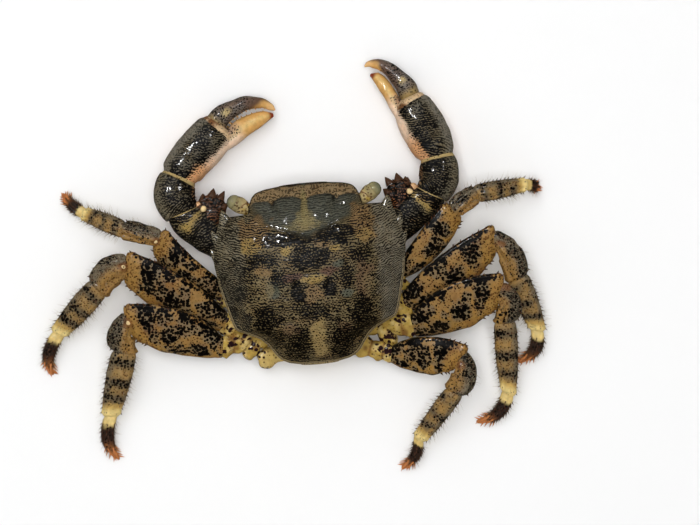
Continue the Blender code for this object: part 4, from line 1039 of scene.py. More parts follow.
# %% Legs: side, number, widths, sideways bows, then hip, knee, wrist, ankle and tip
LEGS = {
    "leg1_left": (
        -1, 1, (3.9, 6.4, 3.7, 3.4, 1.9), ((-1.2, -1.1, 0.1), (0.0, 0.2, 0.3), (-0.2, -0.2, 0.5)),
        ((-16.8, -2.3, 4.5), (-28.1, 8.9, 8.0), (-34.5, 11.3, 7.2), (-42.3, 15.3, 2.6), (-46.1, 19.4, 0.06)),
    ),
    "leg2_left": (
        -1, 2, (3.9, 8.7, 5.7, 4.6, 2.2), ((-0.3, -0.2, 0.6), (-0.3, 1.0, 0.3), (-1.3, -0.2, 0.5)),
        ((-17.2, -7.8, 4.7), (-34.6, 4.1, 8.8), (-40.3, 0.9, 7.3), (-49.2, -7.1, 2.5), (-51.4, -14.8, 0.06)),
    ),
    "leg3_left": (
        -1, 3, (5.0, 9.4, 5.3, 4.8, 2.2), ((0.0, 0.5, 0.6), (-0.9, -0.1, 0.3), (-1.3, -0.3, 0.5)),
        (
            (-18.2, -12.5, 5.0), (-35.1, -6.3, 8.8), (-36.5, -11.5, 7.4), (-40.8, -23.6, 2.5),
            (-40.3, -32.2, 0.06),
        ),
    ),
    "leg1_right": (
        1, 1, (3.9, 5.9, 3.8, 3.5, 1.9), ((0.4, -0.5, 0.6), (0.0, 0.2, 0.3), (0.4, 0.0, 0.6)),
        ((17.0, -1.5, 4.8), (27.8, 9.0, 8.3), (32.2, 11.6, 7.7), (41.9, 12.6, 4.8), (44.4, 11.9, 0.05)),
    ),
    "leg2_right": (
        1, 2, (3.9, 8.6, 5.0, 4.4, 2.2), ((0.3, -0.4, 0.6), (0.8, 0.5, 0.3), (1.3, -0.9, 0.5)),
        ((17.2, -7.3, 4.7), (34.8, 2.5, 8.8), (38.5, -4.7, 7.3), (41.7, -15.1, 2.5), (37.4, -20.9, 0.06)),
    ),
    "leg3_right": (
        1, 3, (4.9, 9.9, 5.0, 4.3, 2.2), ((0.0, 0.3, 0.6), (1.1, 0.0, 0.3), (0.9, -1.1, 0.5)),
        ((18.2, -11.9, 5.0), (34.9, -7.3, 8.8), (35.4, -12.7, 7.4), (35.0, -26.6, 2.5), (28.7, -31.6, 0.06)),
    ),
    "leg4_right": (
        1, 4, (4.4, 7.8, 4.8, 3.7, 1.9), ((0.0, 0.1, 0.6), (1.0, -0.3, 0.3), (0.8, -0.5, 0.5)),
        (
            (13.7, -16.9, 4.4), (26.3, -19.1, 8.2), (24.8, -24.9, 7.2), (17.3, -33.6, 2.5),
            (13.6, -39.0, 0.06),
        ),
    ),
}
print("from hip to knee:", {name: round(math.dist(*values[-1][:2]), 1) for name, values in LEGS.items()})


# %% Leg surfaces
def facet(number, side):
    """The middle of one of the thorax's side faces, a gap out from it, and the way out."""
    (rear_y, rear_half), (front_y, front_half) = THORAX_SIDES[number], THORAX_SIDES[number + 1]
    middle = np.array([side * (rear_half + front_half) / 2, (rear_y + front_y) / 2, ROOT_HEIGHT])
    way = unit(np.array([side * (front_y - rear_y), rear_half - front_half, 0.0]))
    return middle + way * GAP, way


def bowed(ends, normals, bow, profile, size, rolls, rows, columns, power=2.3):
    """A segment between two joint planes.

    Its middle line is the straight line between its ends plus the bow times 4 s (1 - s), and its
    sections turn from the first plane to the chord and on to the last plane.
    """
    start, end = ends
    chord = unit(end - start)
    share = np.linspace(0, 1, rows)
    centres = start + (end - start) * share[:, None] + np.array(bow) * (4 * share * (1 - share))[:, None]
    near = np.where((share < 0.5)[:, None], normals[0], normals[1])
    free = np.clip((0.5 - np.abs(share - 0.5) - HELD_SHARE) / (0.5 - HELD_SHARE), 0, 1)[:, None]
    facing = unit(near * (1 - free) + chord * free)
    table = np.array(profile)
    width, depth = flowing(table[:, 0], table[:, 1:], share).T
    turn = rolls[0] + (rolls[1] - rolls[0]) * share
    shape = domed(centres, facing, turn, width * size[0] / 2, depth * size[1] / 2, LEG_BULGE)
    full = np.concatenate([np.zeros(END_ROWS), share, np.ones(END_ROWS)])
    return sections(*shape, columns, power), full


def leg_segments(side, number, widths, bows, places):
    """The five segments of a leg as grids, from the body to the tip."""
    root, root_way = facet(FACET_OF_LEG[number], side)
    spots = [root, *[np.array(place) for place in places]]
    normals = [root_way]
    for i, blend in enumerate(LEG_BLENDS, start=1):
        way_in = unit(spots[i] - spots[i - 1])
        way_out = unit(spots[i + 1] - spots[i])
        normals.append(unit(way_in * (1 - blend) + way_out * blend))
    normals.append(unit(spots[5] - spots[4]))
    merus_bow, carpus_bow, dactyl_bow = bows
    all_bows = ((0, 0, 0), merus_bow, carpus_bow, (0, 0, 0.4), dactyl_bow)
    grids = {}
    for i, kind in enumerate(PROFILES):
        begin = spots[i] + normals[i] * (GAP / 2 if i else 0)
        finish = spots[i + 1] - normals[i + 1] * (0 if kind == "dactyl" else GAP / 2)
        rolls = (side * LEG_ROLLS[i], side * LEG_ROLLS[i + 1])
        size = (widths[i], LEG_DEPTHS[kind])
        grids[kind] = bowed(
            (begin, finish), (normals[i], normals[i + 1]), all_bows[i], PROFILES[kind], size, rolls,
            LEG_ROWS[kind], LEG_COLUMNS,
        )
    return grids


# %% Relief of each kind of segment
LEG_KEELS = {"base": 0.0, "merus": 0.24, "carpus": 0.14, "propodus": 0.1, "dactyl": 0.0}
LEG_RIDGES = {"base": 0.1, "merus": 0.03, "carpus": 0.2, "propodus": 0.12, "dactyl": 0.08}
LEG_LUMPS = {"base": 0.5, "merus": 0.07, "carpus": 0.2, "propodus": 0.05, "dactyl": 0.04}
COLLAR_HEIGHT = 0.16
FOLD_SHARES = (0.46, 0.8)  # where the skin of a base is folded in


def leg_relief(kind, share, front, top, spots):
    """Height over the smooth form: keels along the edges, low ridges on top, folds and grain."""
    body = smooth(0.02, 0.1, share) * smooth(0.99, 0.92, share)
    keel = hump(1 - front, 0.05) * body
    ridges = np.cos(np.pi * 3 * front) * smooth(0.2, 0.8, top) * body
    height = LEG_KEELS[kind] * keel + LEG_RIDGES[kind] * ridges
    height = height + LEG_LUMPS[kind] * lumps(spots, 1.5, 21) * body + 0.02 * lumps(spots, 0.5, 22)
    if kind == "base":
        first, second = FOLD_SHARES
        folds = hump(share - first, 0.05) + 0.6 * hump(share - second, 0.04)
        return height - 0.3 * folds
    if kind == "dactyl":
        return height
    return height + COLLAR_HEIGHT * hump(share - 0.96, 0.03)


# %% [markdown]
# The markings of a leg follow its own axes: the share along it, and how far a place lies to the
# front and to the top. Each kind of segment has a finish of its own, from the yellow base to
# the orange tip.

# %% Clusters and bands: share along, place across from -1 at the rear to 1 at the front, reaches
MERUS_CLUSTERS = (
    (0.76, 0.55, 0.09, 0.85), (0.52, -0.05, 0.12, 0.4), (0.2, -0.4, 0.13, 0.35), (0.08, 0.6, 0.12, 0.5),
)
PROPODUS_BANDS = (0.14, 0.45, 0.7)
LEG_DARKNESS = {1: 0.2, 2: 0.08, 3: -0.04, 4: 0.0}  # the front legs are blotched the most


def clustered(share, front, ragged, shift):
    """How much each place lies in one of the black clusters of a merus, from 0 to 1."""
    total = np.zeros_like(share)
    for middle, across, reach_share, reach_front in MERUS_CLUSTERS:
        along = (share - middle - shift) / reach_share
        aside = (front - across) / reach_front
        total = np.maximum(total, smooth(1.3, 0.5, np.sqrt(along**2 + aside**2) + 0.55 * ragged))
    return total


# %% Finish of each kind of segment
def root_finish(share, spots, seed):
    """Tone and cover of a leg's yellow, folded base."""
    ragged = lumps(spots, 1.3, seed) + 0.5 * lumps(spots, 0.6, seed + 1)
    tone = mixed("root yellow", "root cream", smooth(-0.2, 0.7, ragged) * 0.8)
    tone = mixed(tone, "root brown", smooth(0.15, 0.8, lumps(spots, 1.1, seed + 2)) * 0.75)
    first, second = FOLD_SHARES
    fold = hump(share - first, 0.04) + hump(share - second, 0.03)
    tone = mixed(tone, "root brown", np.clip(0.8 * fold, 0, 1))
    patches = smooth(0.12, 0.3, lumps(spots, 1.5, seed + 3) + 0.3 * ragged)
    return {"tone": tone, "blotch": 0.7 * patches, "dots": 0.15 + 0.1 * ragged}


def merus_finish(share, front, spots, ragged, fine, seed, darkness):
    """Ochre to tan with black clusters, a dark front edge and a clearer end at the knee."""
    tone = mixed("leg ochre", "leg tan", smooth(-0.5, 0.4, front + 0.4 * fine) * 0.85)
    tone = mixed(tone, "root brown", 0.45 * smooth(0.1, 0.8, lumps(spots, 2.4, seed + 4)))
    knee = smooth(0.84, 0.91, share + 0.02 * ragged)
    cluster = clustered(share, front, ragged, 0.04 * (seed % 3 - 1))
    cluster = np.maximum(cluster, 0.75 * smooth(0.14, 0.34, ragged + darkness)) * (1 - 0.8 * knee)
    ridge = smooth(0.8, 0.95, front + 0.05 * ragged) * smooth(0.98, 0.9, share)
    cover = 0.1 + 0.1 * fine + 0.76 * cluster + 0.55 * ridge
    tone = mixed(tone, "leg grey", 0.7 * cluster)
    tone = mixed(tone, "leg ochre", 0.6 * knee)
    return {"tone": tone, "blotch": cover, "dots": 0.26 + 0.14 * fine + 0.15 * smooth(0.6, 0.9, share)}


def carpus_finish(front, ragged, fine):
    """Tan, turning to grey with faint lines at the front edge."""
    outer = smooth(-0.1, 0.5, front + 0.15 * ragged)
    tone = mixed("leg ochre", "leg tan", 0.6 + 0.3 * fine)
    tone = mixed(tone, "leg grey", 0.85 * outer)
    cover = 0.08 + 0.42 * smooth(-0.2, 0.5, ragged + 0.6 * front)
    return {"tone": tone, "blotch": cover, "dots": 0.3 + 0.1 * fine, "stria": 0.15 * outer}


def propodus_finish(share, front, top, ragged, fine):
    """Brown with dark bands across it, and a pale yellow ankle."""
    outer = smooth(0.25, 0.8, front + 0.2 * ragged)
    bands = np.zeros_like(share)
    for middle in PROPODUS_BANDS:
        bands += hump(share - middle, 0.085)
    bands = np.clip(bands * smooth(-0.9, 0.3, ragged + 0.3), 0, 1)
    tone = mixed("leg ochre", "leg brown", 0.55 + 0.4 * fine)
    tone = mixed(tone, "leg grey", 0.75 * np.maximum(outer, bands))
    tone = mixed(tone, SOOT, 0.4 * bands)
    pale = smooth(0.77, 0.86, share + 0.03 * ragged)
    tone = mixed(tone, "band yellow", pale)
    tone = mixed(tone, "cream", smooth(0.84, 0.93, share) * smooth(-0.9, 0.2, top))
    cover = (0.58 * bands + 0.1 * outer + 0.12 * ragged) * (1 - 0.9 * pale)
    return {"tone": tone, "blotch": cover, "dots": (0.3 + 0.12 * fine) * (1 - 0.8 * pale)}


def dactyl_finish(share, ragged, fine):
    """Cream at the ankle, then nearly black, and orange towards the tip."""
    tone = mixed("cream", "band yellow", 0.4 + 0.4 * fine)
    start = smooth(0.1, 0.22, share + 0.05 * ragged)
    tone = mixed(tone, "toe black", start)
    tone = mixed(tone, "toe orange", 0.8 * smooth(0.5, 0.9, share + 0.12 * ragged))
    return {"tone": tone, "blotch": 0.3 * start * smooth(0.85, 0.5, share), "dots": 0.2 * start}


def leg_finish(kind, share, front, top, spots, seed, darkness):
    """The finish of a segment, paler underneath and with a ring round each knob that it bears."""
    if kind == "base":
        return root_finish(share, spots, seed)
    ragged = lumps(spots, 2.2, seed) + 0.5 * lumps(spots, 1.0, seed + 1)
    fine = lumps(spots, 1.4, seed + 2)
    if kind == "merus":
        marks = merus_finish(share, front, spots, ragged, fine, seed, darkness)
    elif kind == "carpus":
        marks = carpus_finish(front, ragged, fine)
    elif kind == "propodus":
        marks = propodus_finish(share, front, top, ragged, fine)
    else:
        marks = dactyl_finish(share, ragged, fine)
    tone = mixed(marks["tone"], "root cream", smooth(-0.35, -0.9, top) * 0.6)
    marks["tone"], cover = ringed(tone, marks["blotch"] * smooth(-0.8, -0.3, top), spots)
    marks["blotch"] = np.clip(cover, 0, 1)
    marks["dots"] = np.clip(marks["dots"], 0, 1)
    marks["phase"] = 9 * share + 1.5 * front
    return marks


# %% [markdown]
# Rows of dark spines stand along the edges of the segments, and long pale bristles between
# them. A hair system could grow them, but thorns set by share and angle stand where a crab has
# them, and they are plain meshes that any program can read.

# %% Spines: kind, how many along, first and last share, angles from the front edge, length, radius
SPINE_ROWS = (
    ("merus", 7, 0.62, 0.97, (4.0,), 0.55, 0.26, "spine brown"),
    ("merus", 3, 0.86, 0.97, (172.0,), 0.55, 0.26, "spine brown"),
    ("carpus", 4, 0.25, 0.92, (10.0,), 0.4, 0.2, "spine brown"),
    ("propodus", 12, 0.12, 0.95, (6.0, 172.0), 0.5, 0.15, "spine brown"),
    ("propodus", 6, 0.3, 0.93, (60.0, 120.0), 0.3, 0.12, "spine brown"),
    ("dactyl", 8, 0.12, 0.7, (0.0, 40.0, 90.0, 140.0, 180.0), 0.7, 0.14, "spine brown"),
    ("dactyl", 4, 0.66, 0.9, (0.0, 60.0, 120.0, 180.0), 1.5, 0.2, "toe orange"),
)


def on_grid(rings, share_rows, shares, angles):
    """Points, ways out and ways along of a tube at chosen shares and angles, by nearest knot."""
    body = share_rows[END_ROWS:-END_ROWS]
    rows = np.searchsorted(body, shares).clip(0, len(body) - 1) + END_ROWS
    columns = np.round(np.radians(angles % 360) / (2 * np.pi) * rings.shape[1]).astype(int) % rings.shape[1]
    out = out_of(rings)
    along = unit(np.gradient(rings.mean(axis=1), axis=0))
    return rings[rows, columns], out[rows, columns], along[rows], columns / rings.shape[1]


def rows_of(table, kind, side):
    """The rows for a kind of segment, one for each angle, turned over on the crab's left."""
    for row_kind, count, low, high, angles, *sizes in table:
        if row_kind == kind:
            for angle in angles:
                yield count, low, high, angle if side > 0 else 180.0 - angle, *sizes


def leg_spines(kind, rings, share_rows, side, draw):
    """The rows of thorns on a segment, leaning towards its tip."""
    parts = []
    for count, low, high, angle, length, radius, tone in rows_of(SPINE_ROWS, kind, side):
        shares = np.linspace(low, high, count) + draw.uniform(-0.012, 0.012, count)
        degrees = angle + draw.uniform(-7, 7, count)
        roots, out, along, _ = on_grid(rings, share_rows, shares, degrees)
        reach = length * draw.uniform(0.75, 1.25, count) * (1 - 0.35 * shares * (kind == "dactyl"))
        ways = out + along * (1.0 if kind == "dactyl" else 0.6)
        radii = np.full(count, radius)
        parts.append(thorns(roots - out * radius, ways, reach + radius, radii, TONES[tone]))
    return parts


print("rows of spines:", len(SPINE_ROWS))

# %% Bristles: kind, how many, first and last share, angles, shortest and longest
BRISTLE_ROWS = (
    ("carpus", 16, 0.1, 0.95, (10.0, 90.0), 0.7, 1.5),
    ("propodus", 34, 0.05, 0.98, (8.0, 172.0), 0.8, 2.2),
    ("propodus", 20, 0.1, 0.95, (60.0, 120.0), 0.6, 1.4),
    ("dactyl", 16, 0.05, 0.85, (20.0, 160.0), 0.8, 1.8),
)
BRISTLE_RADIUS = 0.028


def leg_bristles(kind, rings, share_rows, side, draw):
    """Long soft hairs of a segment, as thin bent thorns with a patch each on the unwrap.

    The unwrap of a leg has a band for each segment: its turn is across, its share along.
    """
    parts = []
    band = list(PROFILES).index(kind)
    for count, low, high, angle, short, long in rows_of(BRISTLE_ROWS, kind, side):
        shares = draw.uniform(low, high, count)
        degrees = angle + draw.uniform(-16, 16, count)
        roots, out, along, around = on_grid(rings, share_rows, shares, degrees)
        ways = out + along * draw.uniform(0.0, 0.9, (count, 1)) + draw.uniform(-0.25, 0.25, (count, 3))
        reach = draw.uniform(short, long, count)
        reach = np.minimum(reach, np.where(ways[:, 2] < 0, np.maximum(roots[:, 2], 0.2), reach))
        patches = np.column_stack([around, (band + shares) / len(PROFILES)])
        radii = np.full(count, BRISTLE_RADIUS)
        sunk = roots - out * 0.05
        hairs = thorns(sunk, ways, reach, radii, TONES["bristle"], sides=3, bend=0.12, patches=patches)
        parts.append(hairs)
    return parts


print("rows of bristles:", len(BRISTLE_ROWS))


# %% Build the seven legs
def make_leg(name, values, seed):
    """One leg: five dressed segments with their spines, and its bristles."""
    side, number = values[:2]
    draw = np.random.default_rng(seed)
    hairs = []
    for kind, (rings, share_rows) in leg_segments(side, number, *values[2:]).items():
        share, wide, top = ring_axes(share_rows, LEG_COLUMNS)
        front = wide * side
        rings = raised(rings, leg_relief(kind, share, front, top, rings))
        keep_above_floor(rings)
        marks = leg_finish(kind, share, front, top, rings, seed * 7 + len(kind), LEG_DARKNESS[number])
        parts = [tube(rings, **marks)]
        parts += leg_spines(kind, rings, share_rows, side, draw)
        for part in parts[1:]:
            keep_above_floor(part["points"])
        skin = ROOT_SKIN if kind == "base" else LEG_SKIN
        piece(f"{name}_{kind}_shell", parts, skin, [f"{name}_{kind}"])
        hairs += leg_bristles(kind, rings, share_rows, side, draw)
    for part in hairs:
        keep_above_floor(part["points"])
    piece(f"{name}_bristles", hairs, BRISTLE_SKIN)


for seed, (name, values) in enumerate(LEGS.items(), start=1):
    make_leg(name, values, seed)
print("legs:", len(LEGS))

# %% [markdown]
# Between the roots of the rear legs, folds of soft yellow skin fill the room up to the shell's
# edge. Each is a closed round form, drawn out one way and made uneven, sunk in its neighbours.

# %% Folds: x, y, z, turn in degrees, half width, half length
ROOT_FOLDS = (
    (-16.0, -8.9, 4.6, 200.0, 1.5, 2.6), (-12.6, -13.3, 4.0, 230.0, 1.5, 2.4),
    (-14.4, -11.2, 4.9, 190.0, 1.3, 2.2), (15.9, -8.6, 4.6, -20.0, 1.5, 2.6),
    (13.0, -13.2, 4.2, -50.0, 1.6, 2.6), (14.6, -11.0, 4.9, -10.0, 1.3, 2.2),
    (-16.2, -4.2, 4.6, 170.0, 1.3, 2.2), (16.2, -4.0, 4.6, 10.0, 1.3, 2.2),
)


def bead(centre, way, radius, behind, ahead, rows=24, columns=40):
    """A closed round form: rings of radius r cos(t) set a sin(t) along its way.

    t runs from pole to pole, and a is `behind` for the first half and `ahead` for the second.
    """
    tilt = np.linspace(-0.48 * np.pi, 0.48 * np.pi, rows)
    reach = np.where(tilt < 0, behind, ahead) * np.sin(tilt)
    way = unit(np.array([way], float))
    half = radius * np.cos(tilt)
    normals = np.repeat(way, rows, axis=0)
    centres = np.array(centre) + reach[:, None] * way
    return sections(centres, normals, np.zeros(rows), half, half, columns, 2.0)


def make_folds():
    """The folds as one piece, with the same finish as the legs' bases."""
    parts = []
    for number, (x, y, z, turn, half, reach) in enumerate(ROOT_FOLDS):
        way = (math.cos(math.radians(turn)), math.sin(math.radians(turn)), -0.1)
        rings = bead((x, y, z), way, half, reach, reach)
        rings = raised(rings, 0.35 * lumps(rings, 1.1, 91))
        share, _, _ = ring_axes(np.linspace(0.5, 0.7, len(rings)), rings.shape[1])
        parts.append(tube(rings, **root_finish(share, rings, 92 + number)))
    return piece("leg_root_folds", parts, ROOT_SKIN)


make_folds()
print("folds:", len(ROOT_FOLDS))

# %% [markdown]
# The last left leg was lost at its base. What is left is the short first piece, with a dark
# hollow where the rest of the leg broke away.

# %% The stump
STUMP_END = np.array([-11.7, -15.9, 3.9])
STUMP_PROFILE = (
    (0.0, 0.86, 0.86), (0.1, 0.98, 0.98), (0.4, 0.86, 0.9), (0.7, 1.02, 1.0), (0.92, 0.94, 0.94),
    (1.0, 0.78, 0.8),
)
STUMP_SIZE = (3.8, 3.2)
STUMP_HOLLOW = 1.3
HOLLOW_ROWS = 14


def make_stump():
    """The lost leg's first piece, whose end rows are turned in to make the hollow."""
    start, way = facet(FACET_OF_LEG[4], -1)
    end_way = unit(STUMP_END - start)
    rings, _ = bowed(
        (start, STUMP_END), (way, end_way), (0, 0, 0), STUMP_PROFILE, STUMP_SIZE, (-12.0, -20.0), 50, 64,
        power=2.0,
    )
    rim = rings[-END_ROWS - 1]
    middle = rim.mean(axis=0)
    turn = np.linspace(0, 1, HOLLOW_ROWS)[:, None, None]
    hollow = middle + (rim - middle) * (1 - 0.9 * turn) - end_way * STUMP_HOLLOW * np.sin(turn * np.pi / 2)
    rings = np.concatenate([rings[:-END_ROWS], hollow[1:]])
    inner = HOLLOW_ROWS - 1
    deep = np.concatenate([np.zeros(len(rings) - inner), np.linspace(0.3, 1, inner)])
    share, _, _ = ring_axes(deep, rings.shape[1])
    ragged = lumps(rings, 1.8, 71)
    rings = raised(rings, 0.35 * lumps(rings, 1.4, 72) * (1 - share))
    tone = mixed("root yellow", "root cream", 0.5 + 0.5 * ragged)
    tone = mixed(tone, "lobe brown", share)
    cover = 0.6 * smooth(0.1, 0.35, ragged) * (1 - share)
    skin = tube(rings, tone=tone, blotch=cover, dots=0.2 * (1 - share))
    return piece("stump_shell", [skin], ROOT_SKIN, ["leg4_left_stump"])


print("stump faces:", len(make_stump().data.polygons))

# %% [markdown]
# ## Claws
# Each claw is a base, a merus with a toothed lobe, a carpus, the palm that ends in the fixed
# finger, and the moving finger. The upper side is dark and finely lined, the outer edge is
# smooth and grey, on the palm partly painted sheen, the inner side orange and cream, so tones
# follow the angle. Stations are given per claw, since the two aren't mirror images in this pose.

# %% Claw sizes: stations of x, y, z, width, depth
CLAWS = {
    "claw_left": {
        "side": -1,
        "merus": (
            (-15.4, 4.9, 4.4, 4.6, 3.8), (-16.6, 6.6, 4.6, 6.0, 4.6), (-19.4, 9.6, 5.0, 7.4, 5.2),
            (-22.0, 12.0, 5.5, 7.4, 5.2), (-22.9, 13.2, 5.6, 6.6, 4.8),
        ),
        "knee_normal": (-0.30, 0.95, 0.05),
        "carpus": (
            (-23.0, 13.3, 5.6, 6.0, 4.8), (-23.9, 14.7, 5.6, 7.4, 6.2), (-24.5, 16.9, 5.5, 7.9, 6.8),
            (-24.1, 18.9, 5.2, 7.6, 6.6), (-23.4, 20.1, 4.9, 6.6, 5.6),
        ),
        "wrist_normal": (0.47, 0.88, -0.05),
        "palm": (
            (-23.3, 20.3, 4.8, 6.4, 5.4), (-22.6, 21.5, 4.5, 7.6, 6.8), (-20.8, 23.5, 3.9, 8.1, 7.8),
            (-18.4, 25.7, 3.8, 8.4, 8.0), (-16.2, 27.8, 3.8, 8.0, 7.0), (-15.1, 28.8, 3.7, 6.9, 5.9),
        ),
        "finger_normal": (0.74, 0.67, 0.0),
        "thumb": (
            (-15.0, 26.1, 3.4, 3.8, 4.0), (-12.6, 27.2, 3.3, 3.7, 4.0), (-10.5, 28.6, 3.1, 3.6, 3.6),
            (-8.2, 29.6, 2.9, 3.2, 3.0), (-6.2, 30.3, 2.7, 2.3, 2.3), (-4.6, 30.5, 2.6, 0.8, 0.9),
        ),
        "dactyl": (
            (-15.6, 29.9, 3.7, 4.0, 4.4), (-14.3, 31.2, 3.7, 3.9, 4.5), (-11.9, 32.4, 3.6, 3.1, 3.9),
            (-9.2, 33.2, 3.3, 2.6, 3.2), (-6.6, 33.0, 3.0, 2.0, 2.4), (-4.9, 32.1, 2.8, 1.4, 1.6),
            (-4.2, 31.5, 2.7, 0.5, 0.7),
        ),
        "lobe": ((-19.2, 10.4, 6.2), (-16.8, 15.6, 6.4)),
        "lobe_teeth": ((-18.9, 16.7), (-16.9, 17.6), (-14.9, 16.9)),
        "tooth_size": 1.0,
    },
    "claw_right": {
        "side": 1,
        "merus": (
            (15.4, 4.9, 4.4, 4.6, 3.8), (16.8, 6.6, 4.6, 6.0, 4.6), (19.6, 9.3, 5.0, 7.2, 5.2),
            (22.4, 11.5, 5.5, 7.0, 5.2), (23.6, 12.4, 5.6, 6.2, 4.8),
        ),
        "knee_normal": (0.50, 0.86, 0.05),
        "carpus": (
            (23.8, 12.6, 5.6, 5.8, 4.8), (24.9, 13.7, 5.6, 7.0, 6.2), (25.7, 15.6, 5.5, 7.6, 6.8),
            (25.9, 17.8, 5.2, 7.3, 6.6), (25.8, 19.2, 4.9, 6.4, 5.6),
        ),
        "wrist_normal": (-0.15, 0.985, -0.05),
        "palm": (
            (25.75, 19.5, 4.8, 6.2, 5.4), (25.4, 20.8, 4.5, 7.5, 6.8), (24.6, 23.2, 3.9, 8.4, 7.8),
            (23.4, 26.0, 3.8, 8.5, 8.0), (22.2, 29.0, 3.8, 7.6, 7.0), (21.6, 30.4, 3.7, 6.2, 5.9),
        ),
        "finger_normal": (-0.42, 0.91, 0.0),
        "thumb": (
            (20.3, 28.0, 3.4, 3.2, 4.0), (18.9, 30.2, 3.3, 2.6, 4.0), (18.0, 32.3, 3.1, 2.5, 3.6),
            (17.0, 34.2, 2.9, 2.4, 3.0), (15.9, 35.7, 2.7, 2.0, 2.3), (14.8, 36.3, 2.6, 0.7, 0.9),
        ),
        "dactyl": (
            (21.7, 31.9, 3.7, 3.9, 4.4), (21.3, 33.2, 3.7, 3.8, 4.5), (19.9, 35.2, 3.6, 3.1, 3.9),
            (18.2, 37.1, 3.3, 2.5, 3.2), (16.2, 38.2, 3.0, 2.0, 2.4), (14.6, 38.4, 2.8, 1.2, 1.6),
            (13.9, 38.1, 2.7, 0.5, 0.7),
        ),
        "lobe": ((19.2, 10.4, 6.2), (17.4, 15.2, 6.4)),
        "lobe_teeth": ((15.5, 16.6), (17.7, 17.2), (19.4, 16.4)),
        "tooth_size": 0.2,
    },
}
CLAW_COLUMNS = 110
CLAW_BASE_SIZE = (4.9, 4.1)


def seated(stations, face, normal):
    """The same stations with the first one set over a neighbour's end face, a gap away."""
    first = np.array(face[:3]) + unit(np.array([normal]))[0] * GAP
    return ((*first, *stations[0][3:]), *stations[1:])


# %% Claw finishes
def claw_grain(spots):
    """Small unevenness of the claws: lumps of two sizes."""
    return 0.05 * lumps(spots, 1.6, 31) + 0.03 * lumps(spots, 0.7, 32)


# How many fine lines lie along a piece, and by how many they slant across it
CLAW_LINES = {"palm": (27.0, 3.4), "carpus": (20.0, 2.0), "merus": (22.0, -2.4), "finger": (24.0, 1.5)}


def palm_finish(dark, share, outer, top, above, ragged):
    """Dark, with a grey outer edge that is partly its own grey and partly a painted sheen, and tan to pink on
    the inner side and underneath.
    """
    inner_side = smooth(-0.42, -0.75, outer + 0.12 * ragged + 0.3 * (share - 0.5))
    pale = np.maximum(inner_side, 1 - above)
    inner = mixed("claw tan", "claw pink", smooth(0.25, 0.7, share + 0.1 * ragged))
    inner = mixed(inner, "claw pink", 0.5 * smooth(-0.1, -0.8, top))
    # Painted sheen: the grey outer edge, with less dark ink, is partly the claw's own grey and partly a
    # painted sheen.
    edge = smooth(0.35, 0.8, outer)
    tone = mixed(mixed(dark, "claw grey", 0.8 * edge), inner, pale)
    cover = (0.6 + 0.24 * ragged - 0.3 * edge) * (1 - pale)
    cover += 0.3 * smooth(0.5, 0.1, np.abs(outer + 0.5)) * smooth(0.7, 0.3, share) * above
    joint = smooth(0.965, 0.985, share + 0.012 * ragged)
    rim = mixed(inner, "band yellow", 0.5)
    rim = mixed(rim, "root brown", smooth(0.0, 0.5, ragged))
    return {
        "tone": mixed(tone, rim, 0.9 * joint),
        "blotch": cover * (1 - 0.9 * joint),
        "dots": 0.2 * (1 - pale),
        "ink": 1 - 0.4 * edge,
    }


def claw_carpus_finish(dark, share, outer, top, ragged):
    """Dark, greyer at the outer edge, tan on the inner side and below, pale at both joints."""
    edge = smooth(0.2, 0.7, outer + 0.2 * ragged)
    tone = mixed(dark, "side grey", 0.6 * edge)
    tone = mixed(tone, "claw tan", smooth(-0.75, -0.95, outer + 0.05 * ragged) * 0.7)
    tone = mixed(tone, "claw tan", smooth(-0.3, -0.8, top) * 0.8)
    cover = (0.7 + 0.2 * ragged - 0.24 * edge) * smooth(-0.7, -0.2, top)
    joint = smooth(0.93, 0.95, share + 0.01 * ragged) + smooth(0.02, 0.0, share)
    rim = mixed("lobe brown", "root cream", 0.65)
    return {"tone": mixed(tone, rim, 0.9 * joint), "blotch": cover * (1 - joint), "ink": 1 - 0.2 * edge}


def claw_merus_finish(dark, share, outer, top, above, ragged):
    """Dark and tan, with an ochre patch before the carpus and a black groove across."""
    tone = mixed(dark, "leg tan", smooth(0.1, 0.8, ragged) * 0.5)
    patch = hump(share - 0.84 + 0.05 * ragged, 0.08) * above
    patch = patch * smooth(0.95, 0.3, np.abs(outer))
    groove = hump(share - 0.7 + 0.1 * outer**2, 0.018) * above
    tone = mixed(mixed(tone, "ochre", 0.9 * patch), SOOT, groove)
    tone = mixed(tone, "claw tan", smooth(-0.3, -0.9, top) * 0.7)
    cover = np.clip(0.74 + 0.15 * ragged - 0.6 * patch, 0, 1) * smooth(-0.8, -0.2, top)
    return {"tone": tone, "blotch": cover}


def thumb_finish(share, outer, above, ragged):
    """Pink to amber, cream along its back, brown near the root and with a red-brown tip.

    Its biting edge faces the claw's outer side, so the brown lies where `outer` is high. That brown is partly
    its own speckle and partly painted shade in the gap to the finger.
    """
    tone = mixed("claw pink", "amber", smooth(0.2, 0.5, share))
    tone = mixed(tone, "cream", 0.45 * smooth(0.5, 0.0, np.abs(outer)) * above)
    # Painted shade: brown by the root on the biting side, partly the thumb's own speckled brown and partly
    # painted shade where it faces the finger.
    brown = smooth(0.5, 0.3, share + 0.1 * ragged) * smooth(0.08, 0.2, share) * smooth(-0.5, 0.3, outer)
    tone = mixed(tone, "root brown", 0.7 * brown)
    tone = mixed(tone, "nail", smooth(0.91, 0.98, share + 0.02 * ragged))
    return {"tone": tone, "blotch": 0.25 * brown, "dots": 0.3 * brown, "stria": 0.0}


